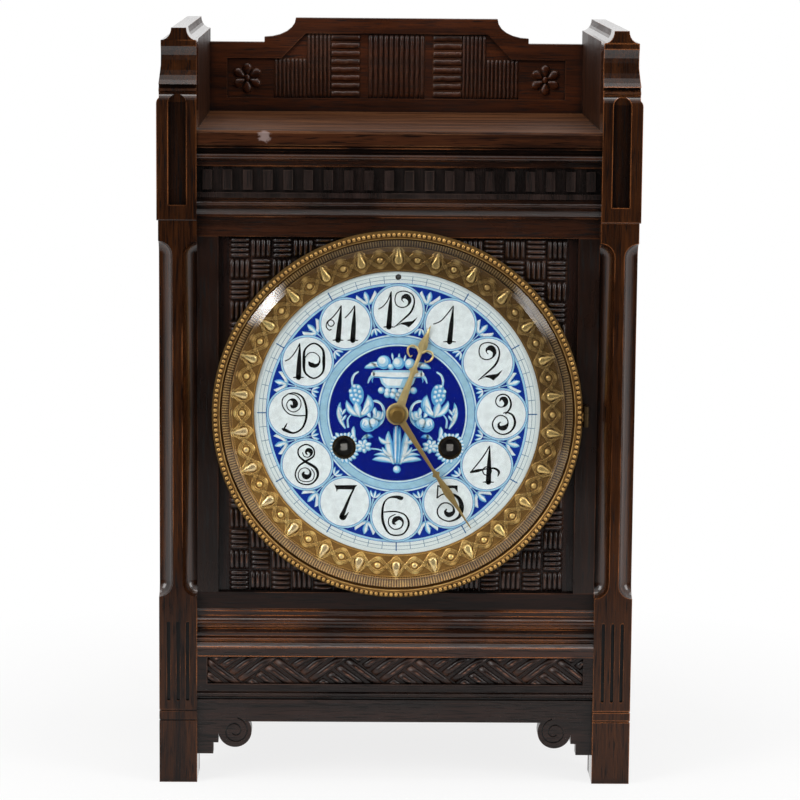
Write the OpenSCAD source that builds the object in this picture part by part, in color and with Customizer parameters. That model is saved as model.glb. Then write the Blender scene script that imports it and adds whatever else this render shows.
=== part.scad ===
// Carved oak mantel clock with corner pillars, an open gallery top, a porcelain dial
// under a bevelled glass, and an eight-day striking movement with a short pendulum.
// +Z is up, the front faces -Y, and the origin is the centre of the base.
// "Depth" always means the distance behind the front faces of the pillars.

/* [Case] */
// Width over the blocks of the two front pillars
case_w = 257; // [254:1:290]
// Height of the pillars
case_h = 408; // [404:1:440]
// Depth of the case from the pillar fronts to the back
case_d = 170; // [160:1:210]
// Width of each front pillar at its block
pillar_w = 21.2; // [19:0.1:22]
// Depth of each front pillar
pillar_d = 22; // [21:0.5:26]
// Thickness of the side boards
side_t = 17; // [13:0.5:18]
// Height of the foot arch in each side
arch_h = 24; // [10:1:40]
// Depth of each foot from front to back
foot_d = 30; // [24:1:50]
// Height of the block at the head of each pillar
block_h = 67.8; // [60:0.1:72]
// Height of the cap above the pillar's fillet
cap_h = 6.5; // [4:0.1:9]
// Radius of the hollow chamfers on the pillars
flute_r = 7.6; // [5:0.1:8.5]
// Height of the pillar's plain base block
plinth_h = 102.9; // [95:0.1:110]

/* [Front] */
// Height of the apron's lower edge above the floor
apron_z = 33; // [28:0.5:36]
// Height of the apron board
apron_h = 14.2; // [12:0.1:18]
// Height of the lattice board
lattice_h = 22.8; // [20:0.1:28]
// Height of the base moulding
base_moulding_h = 25.2; // [24:0.1:30]
// Height of the bottom rail
bottom_rail_h = 9.3; // [8:0.1:12]
// Height of the top rail
top_rail_h = 20.3; // [18:0.1:24]
// Height of the dentil frieze
frieze_h = 16.7; // [15:0.1:20]
// Height of the cornice moulding
cornice_h = 11.4; // [10.5:0.1:14]
// Thickness of the gallery shelf
shelf_t = 8.2; // [7:0.1:10]
// Width of each stile beside the carved panel
stile_w = 11.3; // [8:0.1:13]
// Depth of the rails' faces behind the pillar fronts
rail_u = 6.5; // [6.3:0.1:7.5]
// Thickness of the carved panel
panel_t = 8; // [6:0.5:10]
// Width of one block of the basket weave
weave = 11.3; // [9:0.1:14]
// Height of the weave above its ground
weave_rise = 2.0; // [1:0.1:2.5]
// Distance between the dentils
dentil_pitch = 10.72; // [8:0.1:14]
// Width of one dentil
dentil_w = 4.8; // [3:0.1:6]
// Width of one triangle of the lattice band
lattice_pitch = 38.4; // [30:0.5:48]
// Radius of the scrolls on the apron's brackets
scroll_r = 9.1; // [7:0.1:10]

/* [Gallery] */
// Height of the gallery above its shelf
gallery_h = 53.8; // [50:0.1:60]
// Thickness of the gallery back
gallery_t = 8; // [6:0.5:12]
// Half width of the raised centre of the gallery back
crest_half = 57.4; // [45:0.5:70]
// Height of the raised centre over the shoulders
crest_h = 14.2; // [10:0.1:18]
// Pitch of the carved reeds in the gallery
reed_pitch = 4.7; // [3.5:0.1:6]

/* [Dial and bezel] */
// Outer radius of the brass bezel
bezel_r = 99.2; // [97:0.1:101]
// Radius of the bezel's front opening
sight_r = 95; // [93.5:0.1:95.5]
// Radius of the dial that shows inside the embossed ring
dial_r = 76.85; // [74:0.05:78]
// Thickness of the porcelain dial
dial_t = 4; // [3:0.1:4.5]
// Thickness of the glass at its middle
glass_t = 4; // [3:0.1:4.2]
// Width of the bevel round the glass
bevel_w = 6.6; // [4:0.1:9]
// Height of the dial's centre above the bottom rail
dial_rise = 98; // [96:0.1:100]
// Distance of each winding hole from the dial's centre line
wind_x = 28.5; // [27.5:0.1:30]
// Distance of the winding holes below the dial's centre
wind_drop = 18.5; // [17.5:0.1:20]
// Radius of the winding holes in the dial
wind_hole_r = 5.9; // [5:0.1:6.5]
// Height of the regulator hole above the dial's centre
regulator_rise = 73.7; // [72:0.1:74]
// Number of bosses on the embossed ring
boss_count = 26; // [20:1:30]

/* [Hands] */
// Length of the hour hand from the centre
hour_len = 51; // [44:0.5:54]
// Length of the minute hand from the centre
minute_len = 73.5; // [64:0.5:74]
// Thickness of each hand
hand_t = 0.7; // [0.5:0.05:0.9]
// Angle of the hour hand after twelve
hour_angle = 20; // [0:1:359]
// Angle of the minute hand after twelve
minute_angle = 147; // [0:1:359]

/* [Movement] */
// Radius of the movement plates
plate_r = 54; // [53.5:0.5:58]
// Thickness of the movement plates
plate_t = 2; // [1.5:0.1:2.2]
// Space between the movement plates
plate_gap = 34; // [33.8:0.1:38]
// Radius of the plate pillars
post_r = 3; // [2:0.1:3.5]
// Tooth module of the barrels
barrel_m = 0.55; // [0.52:0.01:0.56]
// Height of the spring barrels
barrel_h = 22; // [18:0.5:22.3]
// Radius of the stout arbors
arbor_r = 1.2; // [1:0.05:1.3]
// Radius of the slender arbors
fine_r = 0.7; // [0.6:0.01:0.72]
// Radius of the pivots
pivot_r = 0.45; // [0.35:0.05:0.55]
// Running clearance of pivots and pins in their holes
run = 0.05; // [0.03:0.01:0.08]
// Radius of the escape wheel
escape_r = 11; // [10:0.1:11.4]
// Width of the square winding ends
square_w = 3.6; // [3:0.1:4]

/* [Pendulum and strike] */
// Length from the suspension to the middle of the bob
pendulum_l = 140; // [120:1:165]
// Radius of the pendulum bob
bob_r = 18; // [12:0.5:19]
// Thickness of the pendulum bob
bob_t = 10; // [6:0.5:11]
// Outer radius of the gong
gong_r = 40; // [34:0.5:42]
// Number of turns in the gong
gong_turns = 5; // [3:1:6]
// Radius of the gong's wire
gong_wire = 1.4; // [1:0.1:1.8]
// Radius of the hammer's head
hammer_r = 5; // [3:0.1:6]

/* [Back] */
// Width of the back frame's members
back_rail = 24; // [18:0.5:30]
// Thickness of the back frame and its door
back_t = 10; // [8:0.5:12]
// Play round the back door
door_play = 0.8; // [0.7:0.1:1.5]
// Radius of the knuckles on the back hinges
knuckle_r = 2.6; // [2.2:0.1:3]
// Radius of the knob on the back door's catch
knob_r = 7; // [5:0.1:9]

/* [Hidden] */
$fn = 48;

// Running and seating clearances
seat = 0.3;
skin = 0.02;

// Case planes
half_w = case_w / 2;
inner = half_w - pillar_w;
shaft_in = 0.8;
shaft_tenon = 2;
bezel_nose = 2.6;
knob_reach = 12;
front_y = -(case_d + knob_reach - bezel_nose) / 2;
lattice_z = apron_z + apron_h;
base_moulding_z = lattice_z + lattice_h;
bottom_rail_z = base_moulding_z + base_moulding_h;
panel_z0 = bottom_rail_z + bottom_rail_h;
shelf_top = case_h - gallery_h;
cornice_z = shelf_top - shelf_t - cornice_h;
frieze_z = cornice_z - frieze_h;
top_rail_z = frieze_z - top_rail_h;
dial_z = panel_z0 + dial_rise;
fillet_h = 3.2;
cove_h = 19.9;
collar_h = 4.1;
block_z = case_h - cap_h - fillet_h - cove_h - collar_h - block_h;
carcass_d = case_d - back_t;
weave_u = rail_u + 0.8;
ground_u = weave_u + weave_rise;
shelf_u = 1;

// Dial and bezel planes, by depth
bezel_back_u = rail_u - seat;
flange_u = ground_u - 1.4;
dial_u = 9.2;
dial_plate_t = 1.5;
dial_back_u = dial_u + dial_t;
ring_lip_u = dial_back_u + dial_plate_t;
lip_t = 1.5;
panel_hole_r = 90;
ring_tube_r = panel_hole_r - 0.6;
glass_back_u = 2.8;
hinge_x = bezel_r + 1.8;
hinge_u = 0.5;
pin_r = 0.8;
leaf_h = 5.5;

// Movement planes, by depth
plate_u = 22.3;
inside_u = plate_u + plate_t;
rear_u = inside_u + plate_gap;
back_u = rear_u + plate_t;

// Wheel train: teeth and modules
great_n = 72;
second_pinion_n = 12;
second_n = 60;
second_m = 0.55;
centre_pinion_n = 10;
centre_n = 96;
centre_m = 0.35;
third_pinion_n = 8;
third_n = 100;
third_m = 0.28;
escape_pinion_n = 8;
escape_n = 32;
strike_pinion_n = 8;
strike_n = 64;
fly_pinion_n = 8;
ratchet_n = 24;
ratchet_r = 8;
cannon_n = 12;
minute_n = 36;
minute_pinion_n = 10;
hour_n = 40;
motion_m = 0.5;
hour_m = motion_m * (cannon_n + minute_n) / (minute_pinion_n + hour_n);

// Centres of the arbors as [x, z] from the dial's centre
centre_at = [0, 0];
going_at = [wind_x, -wind_drop];
strike_at = [-wind_x, -wind_drop];
second_at = third_corner(centre_at, mesh(second_m, second_n, centre_pinion_n),
                         going_at, mesh(barrel_m, great_n, second_pinion_n), 1);
escape_at = [0, 30.2];
third_at = third_corner(centre_at, mesh(centre_m, centre_n, third_pinion_n),
                        escape_at, mesh(third_m, third_n, escape_pinion_n), -1);
pallet_a = 3.75 * 360 / escape_n;
pallet_r = escape_r * tan(pallet_a);
anchor_at = escape_at + [0, escape_r / cos(pallet_a)];
pin_at = [-second_at[0], second_at[1]];
strike_wheel_at = pin_at + polar(mesh(second_m, second_n, strike_pinion_n), 100);
fly_at = strike_wheel_at + polar(mesh(centre_m, strike_n, fly_pinion_n), 50);
hammer_at = [-48, 8];
minute_wheel_at = [-mesh(motion_m, cannon_n, minute_n), 0];
regulator_at = [0, regulator_rise];
post_angles = [25, 155, 62, 118, 270];
post_ring = plate_r - 7;

// Layers between the plates, by distance behind the front plate
centre_v = 2;
great_v = 6;
drum_v = great_v + 2;
third_v = 12;
strike_v = 18;
escape_v = 27;
pin_wheel_v = drum_v + barrel_h + 0.4;
second_v = pin_wheel_v + 1.4;

// Pendulum, suspension and gong
pendulum_u = back_u + 10;
cock_u = back_u;
spring_l = 10;
gong_u = back_u + 40;
gong_drop = 52;
gong_z = dial_z - gong_drop;
hammer_len = 60;

function polar(r, a) = [r * cos(a), r * sin(a)];
function mesh(m, n1, n2) = m * (n1 + n2) / 2;
function third_corner(a, ra, b, rb, side) =
  let (d = norm(b - a), e = (b - a) / d, t = (ra * ra - rb * rb + d * d) / (2 * d),
       h = sqrt(ra * ra - t * t))
  a + e * t + side * h * [-e[1], e[0]];
function bearing(a, b) = atan2(b[1] - a[1], b[0] - a[0]);
function arc(cx, cy, r, a0, a1, n) = [for (i = [0:n]) [cx, cy] + polar(r, a0 + (a1 - a0) * i / n)];

// A box between two depths, from a low to a high corner in x and z
module slab(x0, x1, u0, u1, z0, z1)
  translate([x0, front_y + u0, z0]) cube([x1 - x0, u1 - u0, z1 - z0]);

// A flat outline in x and z, given thickness between two depths
module across(u0, u1)
  translate([0, front_y + u1, 0]) rotate([90, 0, 0]) linear_extrude(u1 - u0) children();

// A section in depth and height, run from side to side
module along_x(x0, x1, points)
  translate([x0, front_y, 0]) rotate([90, 0, 90]) linear_extrude(x1 - x0) polygon(points);

// A round bar from front to back through [x, z]
module bar(at, u0, u1, r, n = 32)
  translate([at[0], front_y + u0, at[1]]) rotate([-90, 0, 0]) cylinder(h = u1 - u0, r = r, $fn = n);

// A section of radius and depth, turned about the front-to-back line through [x, z]
module turned(at, points, n = 96)
  translate([at[0], front_y, at[1]]) rotate([-90, 0, 0])
    rotate_extrude($fn = n) polygon(points);

// Places a flat outline on the movement, between two distances behind the front plate
module on_train(at, v0, v1)
  translate([at[0], 0, dial_z + at[1]]) across(inside_u + v0, inside_u + v1) children();

function hub(at) = [at[0], dial_z + at[1]];

// Outline of a toothed wheel, one tooth centred on the angle given
function teeth(n, m, turn, share, crest, addendum, dedendum) =
  let (r = m * n / 2, p = 360 / n)
  [for (i = [0:n - 1])
     let (a = turn + i * p)
     each [polar(r - dedendum * m, a - p * share * 0.62), polar(r, a - p * share / 2),
           polar(r + addendum * m, a - p * crest / 2), polar(r + addendum * m, a + p * crest / 2),
           polar(r, a + p * share / 2), polar(r - dedendum * m, a + p * share * 0.62)]];

module wheel_outline(n, m, turn = 0) polygon(teeth(n, m, turn, 0.40, 0.16, 0.9, 1.25));
module pinion_outline(n, m, turn = 0) polygon(teeth(n, m, turn, 0.34, 0.18, 0.75, 1.35));

// A crossed-out clock wheel: rim, hub and straight arms
module crossed(r_rim, r_hub, arms, arm_w)
  difference() {
    circle(r = r_rim, $fn = 64);
    circle(r = r_hub, $fn = 32);
    for (i = [0:arms - 1]) rotate(i * 360 / arms)
      translate([0, -arm_w / 2]) square([r_rim + 1, arm_w]);
  }

module clock_wheel(n, m, turn, rim = 0, arms = 5)
  difference() {
    wheel_outline(n, m, turn);
    crossed(rim > 0 ? rim : m * n / 2 - 2.4 * max(m, 0.5), 3, arms, 1.6);
  }

// A slender arbor with a pivot at each end, in the bores of the two plates
module arbor(at, r = arbor_r) {
  bar(hub(at), inside_u + 0.3, rear_u - 0.3, r, 24);
  bar(hub(at), plate_u + 0.2, back_u - 0.2, pivot_r, 24);
}

module mirrored_x() mirror([1, 0, 0]) children();

// Pillars

// Cap: a flat top between two hollow flares
cap_in0 = inner + 5.3;
cap_out0 = half_w - 8;
cap_in1 = inner;
cap_out1 = half_w - 2.5;
function flare(x_foot, x_top, z0, z1) =
  [for (i = [0:6]) [x_foot + (x_top - x_foot) * sin(15 * i), z0 + (z1 - z0) * (1 - cos(15 * i))]];
function turned_back(points) = [for (i = [len(points) - 1:-1:0]) points[i]];
function cap_profile(z0, z1) =
  concat(flare(cap_out1, cap_out0, z0, z1), turned_back(flare(cap_in1, cap_in0, z0, z1)));

flute_z = block_z - 11 - plinth_h;
flutes_z = 46.2;
flutes_h = 42.1;
groove_z = 34.3;

module pillar() {
  fillet_z = case_h - cap_h;
  cove_z = fillet_z - fillet_h - cove_h;
  block_top = block_z + block_h;
  shaft_x = half_w - shaft_in;
  mid_x = (inner + shaft_x) / 2;
  round_r = 5;
  cove_depth = 3.6;
  cove_r = (cove_h * cove_h / 4 + cove_depth * cove_depth) / (2 * cove_depth);
  cove_a = asin(cove_h / 2 / cove_r);
  difference() {
    union() {
      difference() {
        slab(inner, shaft_x, shaft_in, pillar_d, 0, block_z + shaft_tenon);
        // hollow chamfers with rounded stops
        for (x = [inner, shaft_x]) translate([x, front_y + shaft_in, plinth_h]) {
          translate([0, 0, flute_r]) cylinder(r = flute_r, h = flute_z - 2 * flute_r);
          for (z = [flute_r, flute_z - flute_r]) translate([0, 0, z]) sphere(r = flute_r);
        }
      }
      // block with a rounded head, collar, cove and cap, cut to the outline seen from the front
      intersection() {
        along_x(inner, half_w, concat(
          [[pillar_d, block_z], [0.5, block_z], [0, block_z + 0.5]],
          arc(round_r, block_top - round_r, round_r, 180, 120, 5),
          [[2.6, block_top]], arc(2.6, block_top + 1.1, 1.1, 270, 90, 6),
          [[3.8, block_top + 2.2], [3.8, cove_z], [shaft_in, cove_z]],
          arc(shaft_in + cove_depth - cove_r, cove_z + cove_h / 2, cove_r, -cove_a, cove_a, 8),
          [[0.4, fillet_z - fillet_h], [0.4, fillet_z], [shaft_in, fillet_z], [shaft_in, case_h],
           [pillar_d, case_h]]));
        across(0, pillar_d) polygon(concat(
          [[inner, block_z], [half_w, block_z]],
          arc(half_w - 4, block_top - 6, 4, 0, 50, 4),
          [[half_w - 1.2, block_top], [half_w - 1.2, cove_z], [half_w - 2.3, cove_z + cove_h / 2],
           [half_w - 2.5, fillet_z - fillet_h]], cap_profile(fillet_z, case_h)));
      }
    }
    // sunk niche with an arched head in the block
    across(-1, 1.8) {
      translate([mid_x - 4.75, block_z + 8.2]) square([9.5, block_h - 14]);
      translate([mid_x, block_z + block_h - 5.8]) circle(r = 4.75);
    }
    // three narrow flutes and two grooves on the base block
    for (dx = [-5.1, 0, 5.1]) across(-1, shaft_in + 1.4) {
      translate([mid_x + dx - 0.8, flutes_z]) square([1.6, flutes_h]);
      for (z = [flutes_z, flutes_z + flutes_h]) translate([mid_x + dx, z]) circle(r = 0.8, $fn = 16);
    }
    for (z = [groove_z, groove_z + 5.3]) {
      slab(inner - 1, half_w + 1, -1, shaft_in + 0.6, z, z + 0.8);
      slab(shaft_x - 0.6, half_w + 1, -1, pillar_d + 1, z, z + 0.8);
    }
  }
}
module left_pillar() color("#33211a") mirrored_x() pillar();
module right_pillar() color("#33211a") pillar();

// Sides, each with a moulded top that carries the cap to the back

side_field_rise = 22;
module side() {
  out = inner + side_t;
  mid = (foot_d + carcass_d) / 2;
  difference() {
    union() {
      slab(inner, out, pillar_d, case_d, 0, case_h - cap_h - fillet_h);
      across(pillar_d, case_d) polygon(concat(
        [[inner, case_h - cap_h - fillet_h - 4], [out, case_h - cap_h - fillet_h - 4],
         [cap_out1, case_h - cap_h - fillet_h]], cap_profile(case_h - cap_h, case_h)));
    }
    // arch between the feet
    along_x(inner - 1, half_w + 1, concat(
      [[foot_d, -1], [foot_d, arch_h - 8]],
      arc(foot_d + 8, arch_h - 8, 8, 180, 90, 5),
      arc(case_d - foot_d - 8, arch_h - 8, 8, 90, 0, 5),
      [[case_d - foot_d, -1]]));
    // sunk field on the outside, with a smaller one above it beside the gallery
    slab(out - 2.5, out + 1, pillar_d + 20, case_d - 20, lattice_z + lattice_h, frieze_z - 12);
    slab(out - 2.5, out + 1, pillar_d + 20, case_d - 20, frieze_z + 4, shelf_top + side_field_rise);
    for (z = [groove_z, groove_z + 5.3]) slab(out - 0.6, out + 1, pillar_d - 1, case_d + 1, z, z + 0.8);
  }
}
module left_side() color("#2e1d16") mirrored_x() side();
module right_side() color("#2e1d16") side();

// Gallery

module gallery_back() color("#37241b") {
  u0 = case_d - gallery_t;
  z0 = shelf_top - shelf_t;
  shoulder = case_h - crest_h;
  carve_z = shelf_top + 7.7;
  carve_top = shoulder - 9.2;
  carve_x = crest_half + 40;
  rise = 1.0;
  difference() {
    across(u0, case_d) polygon(concat(
      [[-inner, z0], [inner, z0], [inner, shoulder], [crest_half + 18.6, shoulder],
       [crest_half + 18.6, shoulder + 3]],
      [for (i = [0:6]) let (a = 15 * i) [crest_half + 18.6 - 18 * sin(a),
        shoulder + 3 + 11 * (1 - cos(a))]],
      [for (i = [6:-1:0]) let (a = 15 * i) [-crest_half - 18.6 + 18 * sin(a),
        shoulder + 3 + 11 * (1 - cos(a))]],
      [[-crest_half - 18.6, shoulder + 3], [-crest_half - 18.6, shoulder], [-inner, shoulder]]));
    // sunk ground of the carving, with the border's stepped outline
    across(u0 - 1, u0 + 1.6) polygon([
      [-carve_x, carve_z], [carve_x, carve_z], [carve_x, carve_top], [crest_half + 9, carve_top],
      [crest_half - 5, case_h - 9], [-crest_half + 5, case_h - 9], [-crest_half - 9, carve_top],
      [-carve_x, carve_top]]);
  }
  // reeds, upright and level by turns
  for (g = [[-7, 7, 1], [-16, -9, 0], [9, 16, 0]])
    gallery_reeds(g[0] * reed_pitch / 2, g[1] * reed_pitch / 2, g[2], carve_z, case_h - 9, u0 + 1.6,
      rise);
  for (s = [-1, 1]) for (i = [0:6]) {
    x = s * (8 + i + 0.5) * reed_pitch;
    top = abs(x) + reed_pitch / 2 < crest_half - 5 ? case_h - 9 : carve_top;
    across(u0 + 1.6 - rise, u0 + 1.6) translate([x - reed_pitch * 0.38, carve_z])
      square([reed_pitch * 0.76, top - carve_z]);
  }
  // rosettes
  for (s = [-1, 1]) {
    at = [s * (carve_x - 11.5), (carve_z + carve_top) / 2];
    for (k = [0:5]) bar(at + polar(5, 60 * k + 30), u0 + 0.2, u0 + 1.6, 2.7, 24);
    bar(at, u0 - 0.2, u0 + 1.6, 1.9, 24);
  }
}

module gallery_reeds(x0, x1, upright, z0, z1, u, rise) {
  n = upright ? round((x1 - x0) / reed_pitch) : round((z1 - z0) / reed_pitch);
  w = upright ? (x1 - x0) / n : (z1 - z0) / n;
  for (i = [0:n - 1])
    across(u - rise, u)
      if (upright) translate([x0 + (i + 0.12) * w, z0]) square([0.76 * w, z1 - z0]);
      else translate([x0, z0 + (i + 0.12) * w]) square([x1 - x0, 0.76 * w]);
}

module shelf() color("#4a3226") {
  z0 = shelf_top - shelf_t;
  along_x(-inner, inner, [[shelf_u + 1, z0], [case_d - gallery_t, z0], [case_d - gallery_t, shelf_top],
    [shelf_u + 1.2, shelf_top], [shelf_u, shelf_top - 1.2], [shelf_u, z0 + 0.6]]);
}

module cornice_moulding() color("#2c1b14") {
  z1 = cornice_z + cornice_h;
  cut = 4;
  along_x(-inner, inner, concat(
    [[pillar_d, cornice_z], [7.5, cornice_z], [7.5, cornice_z + 0.6]],
    [[5.8, cornice_z + 0.6], [5.8, cornice_z + cut]],
    [[3.6, cornice_z + cut + 0.6]],
    arc(3.6, cornice_z + cut + 2, 1.4, 270, 100, 5),
    [[5.6, cornice_z + cut + 4.2], [5.6, z1 - 1.1], [2.2, z1 - 1.1], [2.2, z1 - 0.5], [3, z1],
      [pillar_d, z1]]));
}

module dentil_frieze() color("#241610") {
  n = 2 * floor((inner - dentil_w / 2) / dentil_pitch + 0.5);
  band_z = frieze_z + 4.8;
  top_z = cornice_z - 1.4;
  slab(-inner, inner, 8, pillar_d, frieze_z, cornice_z);
  slab(-inner, inner, 6.2, 8, frieze_z + 0.4, band_z - 1.6);
  for (i = [0:n - 1])
    slab((i - (n - 1) / 2) * dentil_pitch - dentil_w / 2,
      (i - (n - 1) / 2) * dentil_pitch + dentil_w / 2,
         5.4, 8, band_z, top_z);
}

module top_rail() color("#3a231a") {
  z1 = frieze_z;
  along_x(-inner, inner, concat(
    [[pillar_d, top_rail_z], [rail_u, top_rail_z], [rail_u, z1 - 9.9], [rail_u - 1.2, z1 - 9.6],
      [rail_u - 1.2, z1 - 8.4],
     [rail_u + 0.6, z1 - 5.5], [rail_u + 0.6, z1 - 4.6]],
    arc(rail_u - 0.2, z1 - 2.9, 1.2, 270, 90, 6),
    [[rail_u + 0.8, z1 - 1.3], [rail_u + 0.8, z1], [pillar_d, z1]]));
}

// The right stile is let in for the hinge of the bezel
module front_stiles() color("#38221a")
  difference() {
    for (s = [0, 1]) mirror([s, 0, 0])
      slab(inner - stile_w, inner, rail_u, pillar_d, panel_z0, top_rail_z);
    slab(inner - stile_w - 1, hinge_x + 1, rail_u - 1, ground_u + skin,
         dial_z - leaf_h - seat, dial_z + leaf_h + seat);
  }

// Carved panel: blocks of four reeds, level and upright by turns, outside the bezel

module weave_panel() color("#2b1a14") {
  half = inner - stile_w;
  cols = floor(2 * half / weave);
  rows = floor((top_rail_z - panel_z0) / weave);
  mid_z = (panel_z0 + top_rail_z) / 2;
  keep = bezel_r + 0.5;
  difference() {
    union() {
      slab(-half, half, ground_u, ground_u + panel_t, panel_z0, top_rail_z);
      for (i = [0:cols - 1]) for (j = [0:rows - 1]) {
        at = [(i - (cols - 1) / 2) * weave, mid_z + (j - (rows - 1) / 2) * weave];
        far = norm([abs(at[0]) + weave / 2, abs(at[1] - dial_z) + weave / 2]);
        if (far > keep + 1.5) weave_block(at, (i + j) % 2 == 0);
      }
    }
    bar([0, dial_z], ground_u - 5, ground_u, keep, 128);
    bar([0, dial_z], ground_u - 5, ground_u + panel_t + 5, panel_hole_r, 128);
  }
}

// One block, as the wave of its four reeds run across it
module weave_block(at, level) {
  w = weave - 0.7;
  r = w / 4;
  wave = concat([[-w / 2, 0]],
    [for (k = [0:3]) each [[-w / 2 + (k + 0.2) * r, weave_rise * 0.8],
      [-w / 2 + (k + 0.5) * r, weave_rise],
      [-w / 2 + (k + 0.8) * r, weave_rise * 0.8], [-w / 2 + (k + 1) * r,
        k < 3 ? weave_rise * 0.45 : 0]]]);
  translate([at[0], front_y + ground_u, at[1]])
    rotate([0, level ? 90 : 0, 0]) translate([0, 0, -w / 2])
      linear_extrude(w) mirror([0, 1]) polygon(wave);
}

module bottom_rail() color("#38221a")
  slab(-inner, inner, rail_u, pillar_d, bottom_rail_z, panel_z0);

module base_moulding() color("#3f281c") {
  z0 = base_moulding_z;
  z1 = bottom_rail_z;
  along_x(-inner, inner, concat(
    [[pillar_d, z0], [1.2, z0], [1.2, z0 + 4.6], [0.8, z0 + 5.4], [1.6, z0 + 6.2], [2.6, z0 + 7.4]],
    arc(3.6, z0 + 8.8, 1.3, 250, 100, 5),
    [[4.9, z0 + 10.6], [6.0, z0 + 12.2], [6.3, z0 + 14.4], [5.2, z0 + 15.4], [5.2, z0 + 16.4]],
    arc(4.2, z1 - 6.2, 2.1, 260, 95, 6),
    [[5.4, z1 - 3.4], [5.4, z1 - 0.8], [rail_u, z1], [pillar_d, z1]]));
}

// Lattice board: triangles of slanting rods, leaning left and right by turns

module lattice_board() color("#33211a") {
  z0 = lattice_z;
  z1 = base_moulding_z;
  band0 = z0 + 7.5;
  band1 = z1 - 0.4;
  ground = 3.4;
  end = inner - 5.5;
  difference() {
    along_x(-inner, inner, [[pillar_d, z0], [2.6, z0], [1.4, z0 + 0.8], [1.4, z0 + 2],
      [2.2, z0 + 2.6], [1.6, z0 + 3.4],
      [1.6, z1], [pillar_d, z1]]);
    slab(-end, end, -1, ground, band0, band1);
  }
  n = ceil(2 * inner / lattice_pitch) + 1;
  intersection() {
    for (k = [0:n]) {
      x = -lattice_pitch * (n / 2 - k) - lattice_pitch * 0.12;
      lattice_rods([x, band1], [x + lattice_pitch / 2, band0], [x - lattice_pitch / 2, band0], ground);
      lattice_rods([x + lattice_pitch, band1], [x + lattice_pitch / 2, band0], [x, band1], ground);
    }
    slab(-end, end, 0, ground, band0, band1);
  }
}

// Rods that lie along the side a-b of a triangle and shorten towards its corner c
module lattice_rods(a, b, c, ground)
  for (k = [0:3]) {
    t0 = k * 0.25 + 0.03;
    t1 = k * 0.25 + 0.21;
    across(ground - 1.6, ground)
      polygon([a + (c - a) * t0, b + (c - b) * t0, b + (c - b) * t1, a + (c - a) * t1]);
  }

// Apron with a scrolled bracket at each end

module apron() color("#35231b") {
  face = 4.6;
  back = 14;
  difference() {
    across(face, back) {
      translate([-inner, apron_z]) square([2 * inner, apron_h]);
      for (s = [0, 1]) mirror([s, 0]) {
        translate([inner - 8.6, apron_z - 18]) square([8.6, 18]);
        translate([inner - 11.4, apron_z - 11.8]) square([4, 12]);
        translate([inner - 20.4, apron_z - 5.2]) circle(r = scroll_r);
        translate([inner - 20.4, apron_z - 5.2 - 1]) square([12, 6.3]);
      }
    }
    for (s = [0, 1]) mirror([s, 0, 0]) across(face - 1, face + 0.9)
      translate([inner - 20.4, apron_z - 5.2]) scroll_groove();
  }
  slab(-inner, inner, 3.2, face, apron_z + apron_h - 3.6, apron_z + apron_h - 1.6);
}

module scroll_groove() {
  n = 30;
  turns = 1.6;
  w = 0.45;
  polygon(concat(
    [for (i = [0:n]) polar(scroll_r * (0.82 - 0.62 * i / n) + w, 100 + 360 * turns * i / n)],
    [for (i = [n:-1:0]) polar(scroll_r * (0.82 - 0.62 * i / n) - w, 100 + 360 * turns * i / n)]));
}

module bottom_board() color("#3d2a20")
  slab(-inner, inner, pillar_d, carcass_d, lattice_z, lattice_z + 10);

// Back

door_x = inner - back_rail;
door_z0 = apron_z + back_rail;
door_z1 = shelf_top - shelf_t - back_rail;
back_hinge_u = case_d + knuckle_r;
back_hinge_zs = [door_z0 + 40, door_z1 - 40];
back_leaf_w = 14;
back_leaf_t = 1.2;
knuckle_h = 36;
back_pin_r = 1.2;
catch_at = [-door_x + 12, (door_z0 + door_z1) / 2];
spindle_r = 3;

module back_frame() color("#33221a")
  difference() {
    slab(-inner, inner, carcass_d, case_d, apron_z, shelf_top - shelf_t);
    slab(-door_x, door_x, carcass_d - 1, case_d + 1, door_z0, door_z1);
    for (z = back_hinge_zs)
      slab(door_x - 1, door_x + back_leaf_w, case_d - back_leaf_t, case_d + 1, z - knuckle_h / 2,
        z + knuckle_h / 2);
  }

module back_door() color("#3a271d") {
  p = door_play;
  u0 = carcass_d + 1;
  difference() {
    slab(-door_x + p, door_x - p, u0, case_d, door_z0 + p, door_z1 - p);
    slab(-door_x + 26, door_x - 26, u0 + 5, case_d + 1, door_z0 + 26, door_z1 - 26);
    bar(catch_at, u0 - 1, case_d + 1, spindle_r + run, 48);
    for (z = back_hinge_zs)
      slab(door_x - back_leaf_w, door_x + 1, case_d - back_leaf_t, case_d + 1, z - knuckle_h / 2,
        z + knuckle_h / 2);
  }
}

module upright(x, u, z0, z1, r, n = 32)
  translate([x, front_y + u, z0]) cylinder(h = z1 - z0, r = r, $fn = n);

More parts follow.
